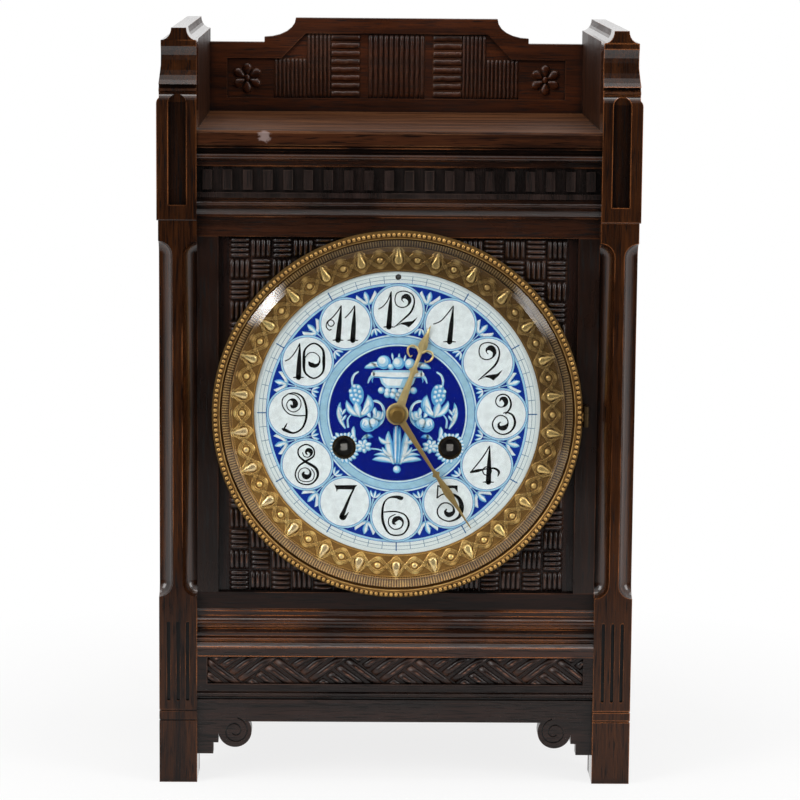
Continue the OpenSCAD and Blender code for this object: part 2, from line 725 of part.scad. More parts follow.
// Knuckles of a back hinge: the frame has the outer two, the door the middle one
module back_leaf(side) {
  third = knuckle_h / 3;
  g = 0.2;
  for (z = back_hinge_zs) difference() {
    union() {
      if (side > 0) slab(door_x + 0.3, door_x + back_leaf_w, case_d - back_leaf_t, case_d,
        z - knuckle_h / 2, z + knuckle_h / 2);
      else slab(door_x - back_leaf_w, door_x - door_play, case_d - back_leaf_t, case_d,
        z - knuckle_h / 2, z + knuckle_h / 2);
      for (k = side > 0 ? [-1, 1] : [0]) {
        z0 = z + (k - 0.5) * third + g;
        z1 = z + (k + 0.5) * third - g;
        upright(door_x, back_hinge_u, z0, z1, knuckle_r);
        if (side > 0) slab(door_x + 0.3, door_x + knuckle_r, case_d - back_leaf_t, back_hinge_u, z0,
          z1);
        else slab(door_x - knuckle_r, door_x - door_play, case_d - back_leaf_t, back_hinge_u, z0, z1);
      }
    }
    upright(door_x, back_hinge_u, z - knuckle_h, z + knuckle_h, back_pin_r + run);
  }
}
module frame_hinge_leaves() color("#8f7a3c") back_leaf(1);
module door_hinge_leaves() color("#8f7a3c") back_leaf(-1);
module back_hinge_pins() color("#a98f4a")
  for (z = back_hinge_zs) {
    upright(door_x, back_hinge_u, z - knuckle_h / 2, z + knuckle_h / 2, back_pin_r);
    upright(door_x, back_hinge_u, z + knuckle_h / 2, z + knuckle_h / 2 + 0.8, back_pin_r + 0.7);
    upright(door_x, back_hinge_u, z - knuckle_h / 2 - 0.8, z - knuckle_h / 2, back_pin_r + 0.7);
  }

// Turn catch on the back door: a knob outside, a tongue inside
tongue_u = carcass_d - 3.6;
module catch_knob() color("#9a8140")
  turned(catch_at, [[0, case_d + 0.3], [knob_r - 1, case_d + 0.3], [knob_r - 1, case_d + 1.5],
    [3.2, case_d + 2.5],
    [3.2, case_d + 5], [knob_r - 1, case_d + 6.5], [knob_r, case_d + 8.5], [knob_r - 1.5, case_d + 11],
    [0, case_d + knob_reach]], 48);
module catch_tongue() color("#8f7a3c") {
  bar(catch_at, tongue_u, case_d + 0.3, spindle_r, 48);
  across(tongue_u, tongue_u + 3) translate(catch_at) {
    circle(r = 6);
    translate([-3.5, 0]) square([7, 20]);
    translate([0, 20]) circle(r = 3.5);
  }
}

// Dial and bezel

module dial_ring() color("#b08d3f") {
  difference() {
    union() {
      turned([0, dial_z], [
        [ring_tube_r - 1.4, flange_u], [sight_r - 1.6, flange_u], [sight_r - 1.6, 4.9],
          [sight_r - 0.4, 4.9],
        [sight_r - 0.4, ground_u], [ring_tube_r, ground_u], [ring_tube_r, ring_lip_u + lip_t],
        [ring_tube_r - 6, ring_lip_u + lip_t], [ring_tube_r - 6, ring_lip_u],
          [ring_tube_r - 1.4, ring_lip_u]], 128);
      // hinge tab and leaf at the right of the ring
      slab(sight_r - 1.5, hinge_x + 0.6, flange_u + 0.1, ground_u, dial_z - leaf_h, dial_z + leaf_h);
      slab(hinge_x - 0.6, hinge_x + 0.6, hinge_u + 2.2, ground_u, dial_z - leaf_h, dial_z + leaf_h);
      for (z = [-leaf_h, leaf_h / 3 + 0.2]) {
        upright(hinge_x, hinge_u, dial_z + z, dial_z + z + leaf_h * 2 / 3 - 0.2, 1.5);
        slab(hinge_x - 0.6, hinge_x + 0.6, hinge_u, hinge_u + 3, dial_z + z,
          dial_z + z + leaf_h * 2 / 3 - 0.2);
      }
    }
  }
  upright(hinge_x, hinge_u, dial_z - leaf_h, dial_z + leaf_h, pin_r);
}

module bezel() color("#b28c3b")
  difference() {
    union() {
      turned([0, dial_z], concat(
        [[sight_r, glass_back_u - 1.8], [sight_r, -0.3], [sight_r + 0.5, -0.9], [bezel_r - 3.2, -0.5]],
        arc(bezel_r - 1.8, -1.25, 1.35, 150, 360, 8),
        [[bezel_r, 0.6], [bezel_r, 3.6], [bezel_r - 0.6, bezel_back_u], [sight_r + 1.9, bezel_back_u],
         [sight_r + 1.4, glass_back_u - 1.8]]), 128);
      slab(bezel_r - 1.2, hinge_x - 0.6, hinge_u - 0.9, hinge_u + 0.9,
           dial_z - leaf_h / 3, dial_z + leaf_h / 3);
      upright(hinge_x, hinge_u, dial_z - leaf_h / 3, dial_z + leaf_h / 3, 1.5);
    }
    upright(hinge_x, hinge_u, dial_z - leaf_h, dial_z + leaf_h, pin_r + run);
  }

module bezel_glass() color([0.8, 0.9, 0.9, 0.3])
  turned([0, dial_z], [[0, glass_back_u], [sight_r + 1.35, glass_back_u],
    [sight_r + 1.35, glass_back_u - 1.75],
    [sight_r, glass_back_u - 1.75], [sight_r - bevel_w, glass_back_u - glass_t],
      [0, glass_back_u - glass_t]], 128);

module glass_retainer() color("#a5843a")
  turned([0, dial_z], [[sight_r - 1.2, glass_back_u], [sight_r + 1.4, glass_back_u],
    [sight_r + 1.4, glass_back_u + 1.6], [sight_r - 1.2, glass_back_u + 1.6]], 96);

// Pressed brass ring round the dial, with a boss above each repeat of its pattern
module embossed_ring() color("#a58a4a") {
  r0 = dial_r;
  r1 = ring_tube_r;
  mid = (r0 + r1) / 2;
  turned([0, dial_z], [[r0, dial_u - 0.8], [r0 + 1, dial_u - 1.1], [r0 + 2, dial_u - 0.9],
    [r1 - 1, flange_u - 1.0],
    [r1, flange_u - 0.8], [r1, flange_u], [r1 - 1.6, flange_u], [r0 + 2.2, dial_u - 0.1],
      [r0, dial_u - 0.1]], 128);
  for (i = [0:boss_count - 1])
    bar([0, dial_z] + polar(mid + 0.8, 90 + 360 * i / boss_count), flange_u - 1.5, flange_u - 0.1,
      2.2, 16);
}

module dial() color("#e9efee")
  difference() {
    bar([0, dial_z], dial_u, dial_back_u, dial_r + 2.1, 128);
    bar([0, dial_z], dial_u - 1, dial_back_u + 1, 4.2);
    for (at = [going_at, strike_at]) bar(hub(at), dial_u - 1, dial_back_u + 1, wind_hole_r, 48);
    bar(hub(regulator_at), dial_u - 1, dial_back_u + 1, 1.6, 24);
  }

module dial_plate() color("#a08848")
  difference() {
    bar([0, dial_z], dial_back_u, ring_lip_u, ring_tube_r - 1.5, 128);
    bar([0, dial_z], dial_back_u - 1, ring_lip_u + 1, 5);
    for (at = [going_at, strike_at]) bar(hub(at), dial_back_u - 1, ring_lip_u + 1, wind_hole_r, 48);
    bar(hub(regulator_at), dial_back_u - 1, ring_lip_u + 1, arbor_r + run, 24);
  }

// Thin collars that line the winding holes
module hole_collars() color("#6b5a30")
  for (at = [going_at, strike_at])
    turned(hub(at), [[wind_hole_r - 0.6, dial_u - 0.2], [wind_hole_r + 0.6, dial_u - 0.2],
      [wind_hole_r + 0.6, dial_u - 0.01], [wind_hole_r - 0.03, dial_u - 0.01],
        [wind_hole_r - 0.03, ring_lip_u],
      [wind_hole_r - 0.6, ring_lip_u]], 48);

// Hands and the motion work behind the dial

minute_u = 5.0;
hour_u = 7.1;
cannon_r = 2;
pipe_r = 3.2;
motion_u = ring_lip_u + 0.6;
hour_wheel_u = motion_u + 0.8;
minute_wheel_u = plate_u - 2.2;

module minute_hand() color("#b79a5e")
  translate([0, 0, dial_z]) across(minute_u, minute_u + hand_t) rotate(-minute_angle)
    difference() {
      union() {
        circle(r = 4.4);
        polygon([[-2.1, 3], [2.1, 3], [1.1, 24], [0.8, 38], [-0.8, 38], [-1.1, 24], [-2.1, 3]]);
        polygon([[-2.4, 38.6], [2.4, 38.6], [1.2, 40.4], [2.6, 51], [0.9, 60], [0.35, minute_len],
          [-0.35, minute_len], [-0.9, 60], [-2.6, 51], [-1.2, 40.4]]);
        translate([-0.8, 37]) square([1.6, 3]);
      }
      circle(r = cannon_end_r, $fn = 32);
    }
cannon_end_r = 1.3;

module hand_nut() color("#b79a5e")
  turned([0, dial_z], [[0, 3.3], [2.6, 3.5], [4.2, 4.2], [4.8, minute_u], [0, minute_u]], 48);

module hour_hand() color("#b79a5e")
  translate([0, 0, dial_z]) across(hour_u, hour_u + hand_t) rotate(-hour_angle)
    difference() {
      union() {
        circle(r = 6);
        polygon([[-2.6, 4], [2.6, 4], [1.5, 22], [1.1, 29], [2.2, 31], [1.0, 33], [1.2, 38],
          [-1.2, 38], [-1.0, 33],
          [-2.2, 31], [-1.1, 29], [-1.5, 22]]);
        for (s = [-1, 1]) {
          difference() {
            translate([s * 3.2, 39.4]) circle(r = 2.7);
            translate([s * 3.4, 38.9]) circle(r = 1.5);
            translate([s * 3.2 - 1.2 + s * 2.4, 36]) square([2.4, 2.6]);
          }
        }
        polygon([[-1.2, 37], [1.2, 37], [2.6, 42.4], [1.3, 46.5], [0, hour_len], [-1.3, 46.5],
          [-2.6, 42.4]]);
      }
      circle(r = pipe_r - 0.2, $fn = 32);
    }

// Cannon pinion: a pipe on the centre arbor, which carries the minute hand
module cannon_pinion() color("#9c8648")
  difference() {
    union() {
      bar([0, dial_z], hour_u - 0.4, plate_u - 0.3, cannon_r, 32);
      bar([0, dial_z], minute_u, hour_u - 0.4, cannon_end_r - skin, 32);
      translate([0, 0, dial_z]) across(minute_wheel_u - 0.3, plate_u - 0.4) pinion_outline(cannon_n,
        motion_m, 180);
    }
    bar([0, dial_z], minute_u + 0.8, plate_u, centre_end_r + run, 24);
  }
centre_end_r = 0.9;

module hour_wheel() color("#a88f4c")
  difference() {
    union() {
      bar([0, dial_z], hour_u, hour_wheel_u, pipe_r - 0.25, 32);
      translate([0, 0, dial_z]) across(hour_wheel_u, hour_wheel_u + 1) difference() {
        wheel_outline(hour_n, hour_m, 180 + 180 / hour_n);
        crossed(hour_m * hour_n / 2 - 1.6, 4.4, 4, 1.6);
      }
    }
    bar([0, dial_z], hour_u - 1, hour_wheel_u + 2, cannon_r + 0.1, 32);
  }

module minute_wheel() color("#a88f4c")
  difference() {
    union() {
      translate([minute_wheel_at[0], 0, dial_z]) {
        across(minute_wheel_u, minute_wheel_u + 1) difference() {
          wheel_outline(minute_n, motion_m, 180 / minute_n);
          crossed(motion_m * minute_n / 2 - 1.6, 3.6, 4, 1.4);
        }
        across(hour_wheel_u - 0.2, minute_wheel_u) pinion_outline(minute_pinion_n, hour_m, 0);
      }
    }
    bar(hub(minute_wheel_at), motion_u, plate_u, 1 + run, 24);
  }

// Movement plates

module plate(u, holes, wide) {
  difference() {
    bar([0, dial_z], u, u + plate_t, plate_r, 128);
    for (h = holes) bar(hub(h), u - 1, u + plate_t + 1, pivot_r + run, 24);
    for (h = wide) bar(hub(h[0]), u - 1, u + plate_t + 1, h[1], 32);
    for (a = post_angles) bar(hub(polar(post_ring, a)), u - 1, u + plate_t + 1, post_r * 0.6, 24);
  }
}
train_at = [second_at, third_at, escape_at, anchor_at, pin_at, strike_wheel_at, fly_at];
winder_r = 2;

module front_plate() color("#b39a58") {
  plate(plate_u, concat(train_at, [hammer_at]),
        [[centre_at, centre_end_r + run], [going_at, winder_r + run], [strike_at, winder_r + run]]);
  bar(hub(minute_wheel_at), hour_wheel_u - 0.4, plate_u, 1, 24);
  for (at = [going_at, strike_at]) bar(hub(click_at(at)), plate_u - 3, plate_u, 1, 24);
  // posts that carry the movement on the back of the dial plate
  for (a = [35, 145, 215, 325]) bar(hub(polar(plate_r - 4, a)), ring_lip_u, plate_u, 2.6, 24);
}
module back_plate() color("#b39a58") {
  top = hub(anchor_at)[1];
  plate(rear_u, [second_at, third_at, escape_at, pin_at, strike_wheel_at, fly_at],
        [[centre_at, pivot_r + run], [going_at, winder_r + run], [strike_at, winder_r + run],
         [anchor_at, arbor_r + run], [hammer_at, arbor_r + run]]);
  // cock that carries the regulator above and the pendulum's spring on its split arm
  difference() {
    union() {
      slab(-7, 7, back_u, back_u + 2, top + 4, hub(regulator_at)[1] + 5);
      slab(-5, rack_x - 0.4, back_u, pendulum_u + 3.4, top + cock_rise, top + cock_rise + 4);
    }
    bar(hub(regulator_at), back_u - 1, back_u + 3, arbor_r + run, 24);
    slab(-0.7, 0.7, pendulum_u - 2.6, pendulum_u + 4, top + cock_rise - 1, top + cock_rise + 5);
  }
}
cock_rise = 7;

// Regulator: an arbor from the hole above the dial's centre to a rack at the back
rack_m = 0.3;
rack_n = 12;
rack_u = pendulum_u - 3;
rack_x = rack_m * rack_n / 2 + 0.45;
module regulator_arbor() color("#9a9a9c") {
  bar(hub(regulator_at), ring_lip_u - 3, rack_u + 2.6, arbor_r, 24);
  translate([regulator_at[0], 0, dial_z + regulator_at[1]]) {
    across(dial_u + 1, ring_lip_u - 3) square([1.8, 1.8], center = true);
    across(rack_u, rack_u + 2) pinion_outline(rack_n, rack_m, 180 / rack_n);
  }
}

// Slide that shortens or lengthens the free part of the pendulum's spring
module regulator_slide() color("#a99350") {
  top = hub(anchor_at)[1];
  z = hub(regulator_at)[1];
  p = PI * rack_m;
  x = rack_m * rack_n / 2;
  difference() {
    union() {
      across(rack_u, rack_u + 2) {
        translate([rack_x, top + 1]) square([2.4, z + 6 - top - 1]);
        for (k = [-4:4]) translate([x, z + k * p])
          polygon([[0.46, -0.26 * p], [0.46, 0.26 * p], [0, 0.19 * p], [-0.2, 0.1 * p],
            [-0.2, -0.1 * p],
                   [0, -0.19 * p]]);
      }
      slab(-4, rack_x + 2.4, rack_u, pendulum_u + 3, top + 1, top + 4);
    }
    slab(-0.6, 0.6, pendulum_u - 2.6, pendulum_u + 4, top, top + 5);
  }
}

module plate_pillars() color("#c2aa66")
  for (a = post_angles) {
    at = hub(polar(post_ring, a));
    turned(at, [[0, inside_u], [post_r, inside_u], [post_r, inside_u + 3],
      [post_r * 0.75, inside_u + 5],
      [post_r * 0.75, rear_u - 5], [post_r, rear_u - 3], [post_r, rear_u],
        [post_r * 0.6 - skin, rear_u],
      [post_r * 0.6 - skin, back_u], [post_r, back_u], [post_r * 0.8, back_u + 1.6],
        [0, back_u + 1.6]], 32);
  }

// Barrels, winding arbors and clicks

ratchet_u = plate_u - 2.4;
square_u = dial_u + 1;

module barrel(at, turn) {
  r = barrel_m * great_n / 2 - 1.3;
  wall = 1.2;
  difference() {
    union() {
      translate([at[0], 0, dial_z + at[1]]) across(inside_u + great_v, inside_u + drum_v)
        wheel_outline(great_n, barrel_m, turn);
      bar(hub(at), inside_u + drum_v, inside_u + drum_v + barrel_h - 0.2, r, 64);
    }
    bar(hub(at), inside_u + drum_v, inside_u + drum_v + barrel_h - wall - 0.2, r - wall, 64);
    bar(hub(at), inside_u, rear_u, winder_r + 1 + run, 32);
  }
  // coiled mainspring, hooked to the barrel's wall
  difference() {
    translate([at[0], 0, dial_z + at[1]])
      across(inside_u + drum_v + 0.6, inside_u + drum_v + barrel_h - wall - 0.8) mainspring(r - wall,
        8.2);
    bar(hub(at), inside_u, rear_u, winder_r + 2, 32);
  }
}

module mainspring(r_out, r_in) {
  n = 96;
  turns = 6;
  t = 0.5;
  polygon(concat(
    [for (i = [0:n]) polar(r_out + 0.2 - (r_out - r_in) * i / n, 360 * turns * i / n)],
    [for (i = [n:-1:0]) polar(r_out + 0.2 - t - (r_out - r_in) * i / n, 360 * turns * i / n)]));
}

module going_barrel() color("#b39648") barrel(going_at, bearing(going_at, second_at));
module strike_barrel() color("#b39648") barrel(strike_at, bearing(strike_at, pin_at));

// Ratchet teeth with their steep faces to the left at the top, so that the arbor
// is wound clockwise and the click holds it
ratchet_depth = 1.2;
module ratchet_outline() {
  p = 360 / ratchet_n;
  polygon([for (i = [0:ratchet_n - 1]) let (a = 89 + i * p)
    each [polar(ratchet_r, a - 2), polar(ratchet_r, a - 1.2), polar(ratchet_r - ratchet_depth, a)]]);
}

module winder(at) {
  bar(hub(at), ring_lip_u - 2, back_u - 0.3, winder_r, 32);
  bar(hub(at), inside_u + 0.4, inside_u + drum_v + barrel_h + 0.2, winder_r + 1, 32);
  translate([at[0], 0, dial_z + at[1]]) {
    across(ratchet_u, ratchet_u + 1.8) ratchet_outline();
    across(square_u, ring_lip_u - 2) square([square_w, square_w], center = true);
  }
}
module going_arbor() color("#9a9a9c") winder(going_at);
module strike_arbor() color("#9a9a9c") winder(strike_at);

// Clicks, each on a stud to the left of its ratchet wheel and above it
click_x = 8;
click_z = ratchet_r + 3.4;
function click_at(at) = at + [-click_x, click_z];
module click(at)
  difference() {
    translate([hub(click_at(at))[0], 0, hub(click_at(at))[1]])
      across(ratchet_u, ratchet_u + 1.8) {
        circle(r = 2.2);
        translate([click_x, ratchet_r - click_z])
          polygon([[-click_x + 0.8, click_z - ratchet_r + 2], [-click_x - 0.8, click_z - ratchet_r - 2],
                   [-1.4, -0.1], [-0.1, -0.75], [-0.1, 0.9]]);
      }
    bar(hub(click_at(at)), plate_u - 4, plate_u, 1 + run, 24);
  }
module going_click() color("#8f8f92") click(going_at);
module strike_click() color("#8f8f92") click(strike_at);

// Going train

module second_wheel() color("#a88f4c") {
  arbor(second_at);
  on_train(second_at, great_v - 1.2, drum_v + 0.2 - 0.4)
    pinion_outline(second_pinion_n, barrel_m, bearing(going_at,
      second_at) + 180 + 180 / second_pinion_n);
  on_train(second_at, second_v, second_v + 1) clock_wheel(second_n, second_m, bearing(second_at,
    centre_at));
}

module centre_wheel() color("#a88f4c") {
  bar(hub(centre_at), minute_u + 1, inside_u + 0.3, centre_end_r, 24);
  bar(hub(centre_at), inside_u + 0.3, rear_u - 0.3, arbor_r, 24);
  bar(hub(centre_at), rear_u - 0.5, back_u - 0.2, pivot_r, 24);
  on_train(centre_at, second_v - 0.3, second_v + 1.2)
    pinion_outline(centre_pinion_n, second_m, bearing(second_at,
      centre_at) + 180 + 180 / centre_pinion_n);
  on_train(centre_at, centre_v, centre_v + 1) clock_wheel(centre_n, centre_m, bearing(centre_at,
    third_at));
}

module third_wheel() color("#a88f4c") {
  arbor(third_at, fine_r);
  on_train(third_at, centre_v - 1, centre_v + 2)
    pinion_outline(third_pinion_n, centre_m, bearing(centre_at, third_at) + 180 + 180 / third_pinion_n);
  on_train(third_at, third_v, third_v + 1) clock_wheel(third_n, third_m, bearing(third_at, escape_at));
}

module escape_wheel() color("#c0a555") {
  p = 360 / escape_n;
  arbor(escape_at, fine_r);
  on_train(escape_at, third_v - 1, third_v + 2)
    pinion_outline(escape_pinion_n, third_m, bearing(third_at,
      escape_at) + 180 + 180 / escape_pinion_n);
  on_train(escape_at, escape_v, escape_v + 1) difference() {
    polygon([for (i = [0:escape_n - 1]) let (a = 90 + i * p)
      each [polar(escape_r - 1.9, a - 0.12 * p), polar(escape_r, a - 0.05 * p),
            polar(escape_r, a + 0.05 * p), polar(escape_r - 1.9, a + 0.28 * p)]]);
    crossed(escape_r - 3.2, 2.6, 5, 1.2);
  }
}

// Anchor with its crutch behind the back plate, which steadies the pendulum rod
crutch_l = 34;
rod_r = 1;
module anchor() color("#8c8c90") {
  at = hub(anchor_at);
  bar(at, plate_u + 0.2, inside_u + 0.3, pivot_r, 24);
  bar(at, inside_u + 0.3, back_u + 4, arbor_r, 24);
  t = pallet_a - 90;
  on_train(anchor_at, escape_v - 0.2, escape_v + 1.2) {
    for (s = [0, 1]) mirror([s, 0])
      polygon([[0, 2.2], [0, -1.6], polar(pallet_r - 1.1, t + 16), polar(pallet_r - 0.75, t + 10),
               polar(pallet_r - 0.75, t + 7), polar(pallet_r + 0.12, t + 7),
               polar(pallet_r + 0.12, t + 10), polar(pallet_r + 0.9, t + 19)]);
    circle(r = 2.4);
  }
  translate([at[0], 0, at[1]]) {
    across(back_u + 2.6, back_u + 3.8) {
      circle(r = 2.6);
      translate([-1.2, -crutch_l]) square([2.4, crutch_l]);
    }
    // fork round the pendulum rod
    across(back_u + 3.8, pendulum_u + 2.4) for (s = [-1, 1])
      translate([s * (rod_r + 0.3 + 0.5) - 0.5, -crutch_l]) square([1, 3]);
    across(back_u + 2.6, back_u + 3.8) translate([-3, -crutch_l]) square([6, 3]);
  }
}

// Pendulum: hook, rod, bob and rating nut
module pendulum() color("#b59a52") {
  at = hub(anchor_at);
  bob_z = at[1] - pendulum_l;
  end_z = bob_z - bob_r - 7;
  upright(0, pendulum_u, end_z, at[1] - spring_l / 2, rod_r, 24);
  slab(-0.1, 0.1, pendulum_u - 2, pendulum_u + 2, at[1] - spring_l / 2, at[1] + cock_rise + 5);
  slab(-1.6, 1.6, pendulum_u - 2.4, pendulum_u + 2.4, at[1] + cock_rise + 4 + seat,
    at[1] + cock_rise + 7);
  slab(-1.6, 1.6, pendulum_u - 3, pendulum_u + 3, at[1] - spring_l / 2 - 4, at[1] - spring_l / 2);
  turned([0, bob_z], [[0, pendulum_u - bob_t / 2], [bob_r * 0.45, pendulum_u - bob_t * 0.46],
    [bob_r * 0.8, pendulum_u - bob_t * 0.28], [bob_r, pendulum_u - 0.6], [bob_r, pendulum_u + 0.6],
    [bob_r * 0.8, pendulum_u + bob_t * 0.28], [bob_r * 0.45, pendulum_u + bob_t * 0.46],
      [0, pendulum_u + bob_t / 2]], 64);
  upright(0, pendulum_u, bob_z - bob_r - 4, bob_z - bob_r - 0.4, 3.2, 24);
}

// Strike train

hammer_pins = 8;
hammer_ring = 13;
module pin_wheel() color("#a88f4c") {
  arbor(pin_at);
  on_train(pin_at, great_v - 1.2, drum_v - 0.2)
    pinion_outline(second_pinion_n, barrel_m, bearing(strike_at, pin_at) + 180 + 180 / second_pinion_n);
  on_train(pin_at, pin_wheel_v, pin_wheel_v + 0.8)
    clock_wheel(second_n, second_m, bearing(pin_at, strike_wheel_at), hammer_ring - 1.4);
  for (k = [0:hammer_pins - 1])
    bar(hub(pin_at + polar(hammer_ring, 22.5 + 360 * k / hammer_pins)), inside_u + pin_wheel_v + 0.8,
        inside_u + pin_wheel_v + 2.6, 0.6, 16);
}

module strike_wheel() color("#a88f4c") {
  arbor(strike_wheel_at);
  on_train(strike_wheel_at, pin_wheel_v - 1, pin_wheel_v + 1.6)
    pinion_outline(strike_pinion_n, second_m, bearing(pin_at,
      strike_wheel_at) + 180 + 180 / strike_pinion_n);
  on_train(strike_wheel_at, strike_v, strike_v + 1)
    clock_wheel(strike_n, centre_m, bearing(strike_wheel_at, fly_at));
}

module fly() color("#b59a52") {
  arbor(fly_at, fine_r);
  on_train(fly_at, strike_v - 1, strike_v + 2)
    pinion_outline(fly_pinion_n, centre_m, bearing(strike_wheel_at, fly_at) + 180 + 180 / fly_pinion_n);
  on_train(fly_at, 4, 15) {
    translate([-6, -0.3]) square([12, 0.6]);
    circle(r = 1.7, $fn = 24);
  }
}

// Hammer: arbor, lifting tail between the plates, and a head beside the gong
module hammer() color("#8c8c90") {
  at = hub(hammer_at);
  head_x = -gong_r - gong_wire - 1;
  reach = 14;
  bar(at, plate_u + 0.2, inside_u + 0.3, pivot_r, 24);
  bar(at, inside_u + 0.3, back_u + 4, arbor_r, 24);
  tail = pin_at[0] - hammer_ring - 0.8 - hammer_at[0];
  on_train(hammer_at, pin_wheel_v + 1.1, pin_wheel_v + 2.6) {
    circle(r = 2.4);
    polygon([[0, 1.8], [0, -2], [tail, pin_at[1] - hammer_at[1] - 0.9],
             [tail, pin_at[1] - hammer_at[1] + 0.9]]);
  }
  translate([at[0], 0, at[1]]) across(back_u + 2, back_u + 4) {
    circle(r = 2.6);
    polygon([[-1.6, 0], [1.6, 0], [head_x - reach / 2 - at[0] + 2, -(at[1] - gong_z) - 2],
             [head_x - reach / 2 - at[0] - 2, -(at[1] - gong_z) - 2]]);
  }
  bar([head_x - reach / 2, gong_z], back_u + 4, gong_u, 1.4, 24);
  translate([head_x - reach, front_y + gong_u, gong_z]) rotate([0, 90, 0]) cylinder(h = reach,
    r = hammer_r, $fn = 32);
}

// Gong: one unbroken coil of wire, wound flat
gong_in = 9;
gong_steps = 24;
gong_sides = 6;
gong_pitch = (gong_r - gong_in) / gong_turns;
function gong_point(i) =
  polar(gong_r - gong_pitch * i / gong_steps, 180 + 360 * i / gong_steps);
gong_gap = min([for (i = [0:(gong_turns - 1) * gong_steps]) for (k = [-2:2])
  norm(gong_point(i) - gong_point(i + gong_steps + k))]) - 2 * gong_wire;
echo(gong_least_gap = gong_gap);
module gong() color("#5b6472") {
  n = gong_turns * gong_steps;
  ring = [for (i = [0:n]) let (a = 180 + 360 * i / gong_steps, r = gong_r - gong_pitch * i / gong_steps)
    for (k = [0:gong_sides - 1]) let (b = 360 * k / gong_sides, q = r + gong_wire * cos(b))
      [q * cos(a), gong_wire * sin(b), -q * sin(a)]];
  faces = concat(
    [[for (k = [0:gong_sides - 1]) gong_sides - 1 - k]],
    [for (i = [0:n - 1]) for (k = [0:gong_sides - 1])
      let (p = i * gong_sides, k2 = (k + 1) % gong_sides)
      each [[p + k, p + k2, p + gong_sides + k2], [p + k, p + gong_sides + k2, p + gong_sides + k]]],
    [[for (k = [0:gong_sides - 1]) n * gong_sides + k]]);
  translate([0, front_y + gong_u, gong_z]) polyhedron(ring, faces);
}

// Stand that holds the gong's inner end, on the bottom board
stand_w = 44;
stand_d = 18;
stand_t = 6;
module gong_stand() color("#3a3d42") {
  u = gong_u + 8;
  z0 = lattice_z + 10;
  slab(-stand_w / 2, stand_w / 2, u - stand_d / 2, u + stand_d / 2, z0, z0 + stand_t);
  upright(0, u, z0 + stand_t, gong_z + 6, 4, 32);
  bar([0, gong_z], gong_u - 3, u, 3, 24);
  slab(-gong_in + gong_wire + 0.2, 0, gong_u - 2, gong_u + 2, gong_z - 2.5, gong_z + 2.5);
}

left_pillar();
right_pillar();
left_side();
right_side();
gallery_back();
shelf();
cornice_moulding();
dentil_frieze();
top_rail();
front_stiles();
weave_panel();
bottom_rail();
base_moulding();
lattice_board();
apron();
bottom_board();
back_frame();
back_door();
frame_hinge_leaves();
door_hinge_leaves();
back_hinge_pins();
catch_knob();
catch_tongue();
dial_ring();
embossed_ring();
dial();
dial_plate();
hole_collars();
bezel();
bezel_glass();
glass_retainer();
minute_hand();
hand_nut();
cannon_pinion();
hour_hand();
hour_wheel();
minute_wheel();
front_plate();
back_plate();
plate_pillars();
regulator_arbor();
regulator_slide();
going_barrel();
going_arbor();
going_click();
second_wheel();
centre_wheel();
third_wheel();
escape_wheel();
anchor();
strike_barrel();
strike_arbor();
strike_click();
pin_wheel();
strike_wheel();
fly();
hammer();
gong();
gong_stand();
pendulum();
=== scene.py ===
# %% [markdown]
# # Dressing a carved oak mantel clock
# The clock's solids come ready-made: case, bezel, dial, movement, gong. This lesson gives them
# their looks. Carving, beads, the pressed brass ring and the painted porcelain are added as
# finer pieces, and every surface gets a finish made of nodes.

import math
import random
from contextlib import contextmanager

import bmesh
import bpy
from mathutils import Matrix, Vector
from mathutils.geometry import tessellate_polygon


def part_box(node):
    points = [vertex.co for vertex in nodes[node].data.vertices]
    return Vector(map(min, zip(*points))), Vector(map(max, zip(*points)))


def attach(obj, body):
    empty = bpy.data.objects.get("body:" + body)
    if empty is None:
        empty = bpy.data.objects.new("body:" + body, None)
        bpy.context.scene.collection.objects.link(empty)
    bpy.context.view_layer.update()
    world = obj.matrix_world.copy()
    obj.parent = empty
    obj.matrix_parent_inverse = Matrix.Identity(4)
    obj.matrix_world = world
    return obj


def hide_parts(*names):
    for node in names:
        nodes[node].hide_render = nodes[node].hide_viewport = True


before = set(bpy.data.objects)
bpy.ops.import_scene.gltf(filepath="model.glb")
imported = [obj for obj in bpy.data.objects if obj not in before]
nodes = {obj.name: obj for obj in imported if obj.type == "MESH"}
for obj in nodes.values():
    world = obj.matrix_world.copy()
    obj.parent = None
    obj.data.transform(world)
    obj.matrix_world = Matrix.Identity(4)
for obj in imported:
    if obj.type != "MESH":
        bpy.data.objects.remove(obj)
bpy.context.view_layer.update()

# %% [markdown]
# The maker works in millimetres: x to the right, depth behind the pillars' front faces, and
# height above the floor. Blender works in metres. One function changes the first into the
# second, with its zero read from the solids, so that a new piece lands where the solids are.

# %% From millimetres to the clock's place
MM = 0.001
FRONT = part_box("left_pillar")[0].y


def place(x, depth, z):
    """A point from millimetres: across, behind the pillar fronts, above the floor."""
    return Vector((x * MM, FRONT + depth * MM, z * MM))


def depth_of(y):
    """Millimetres behind the pillar fronts, from Blender's y."""
    return (y - FRONT) / MM


low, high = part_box("dial")
DIAL_X = (low.x + high.x) / 2 / MM
DIAL_Z = (low.z + high.z) / 2 / MM
DIAL_DEPTH = depth_of(low.y)


def from_dial(spot):
    """Millimetres across and up from the dial's centre, from a point in metres."""
    return spot.x / MM - DIAL_X, spot.z / MM - DIAL_Z


def put(name, data):
    """A new object in the scene, at its origin."""
    thing = bpy.data.objects.new(name, data)
    bpy.context.scene.collection.objects.link(thing)
    return thing


print("dial centre:", round(DIAL_X, 2), round(DIAL_Z, 2), "depth", round(DIAL_DEPTH, 2))

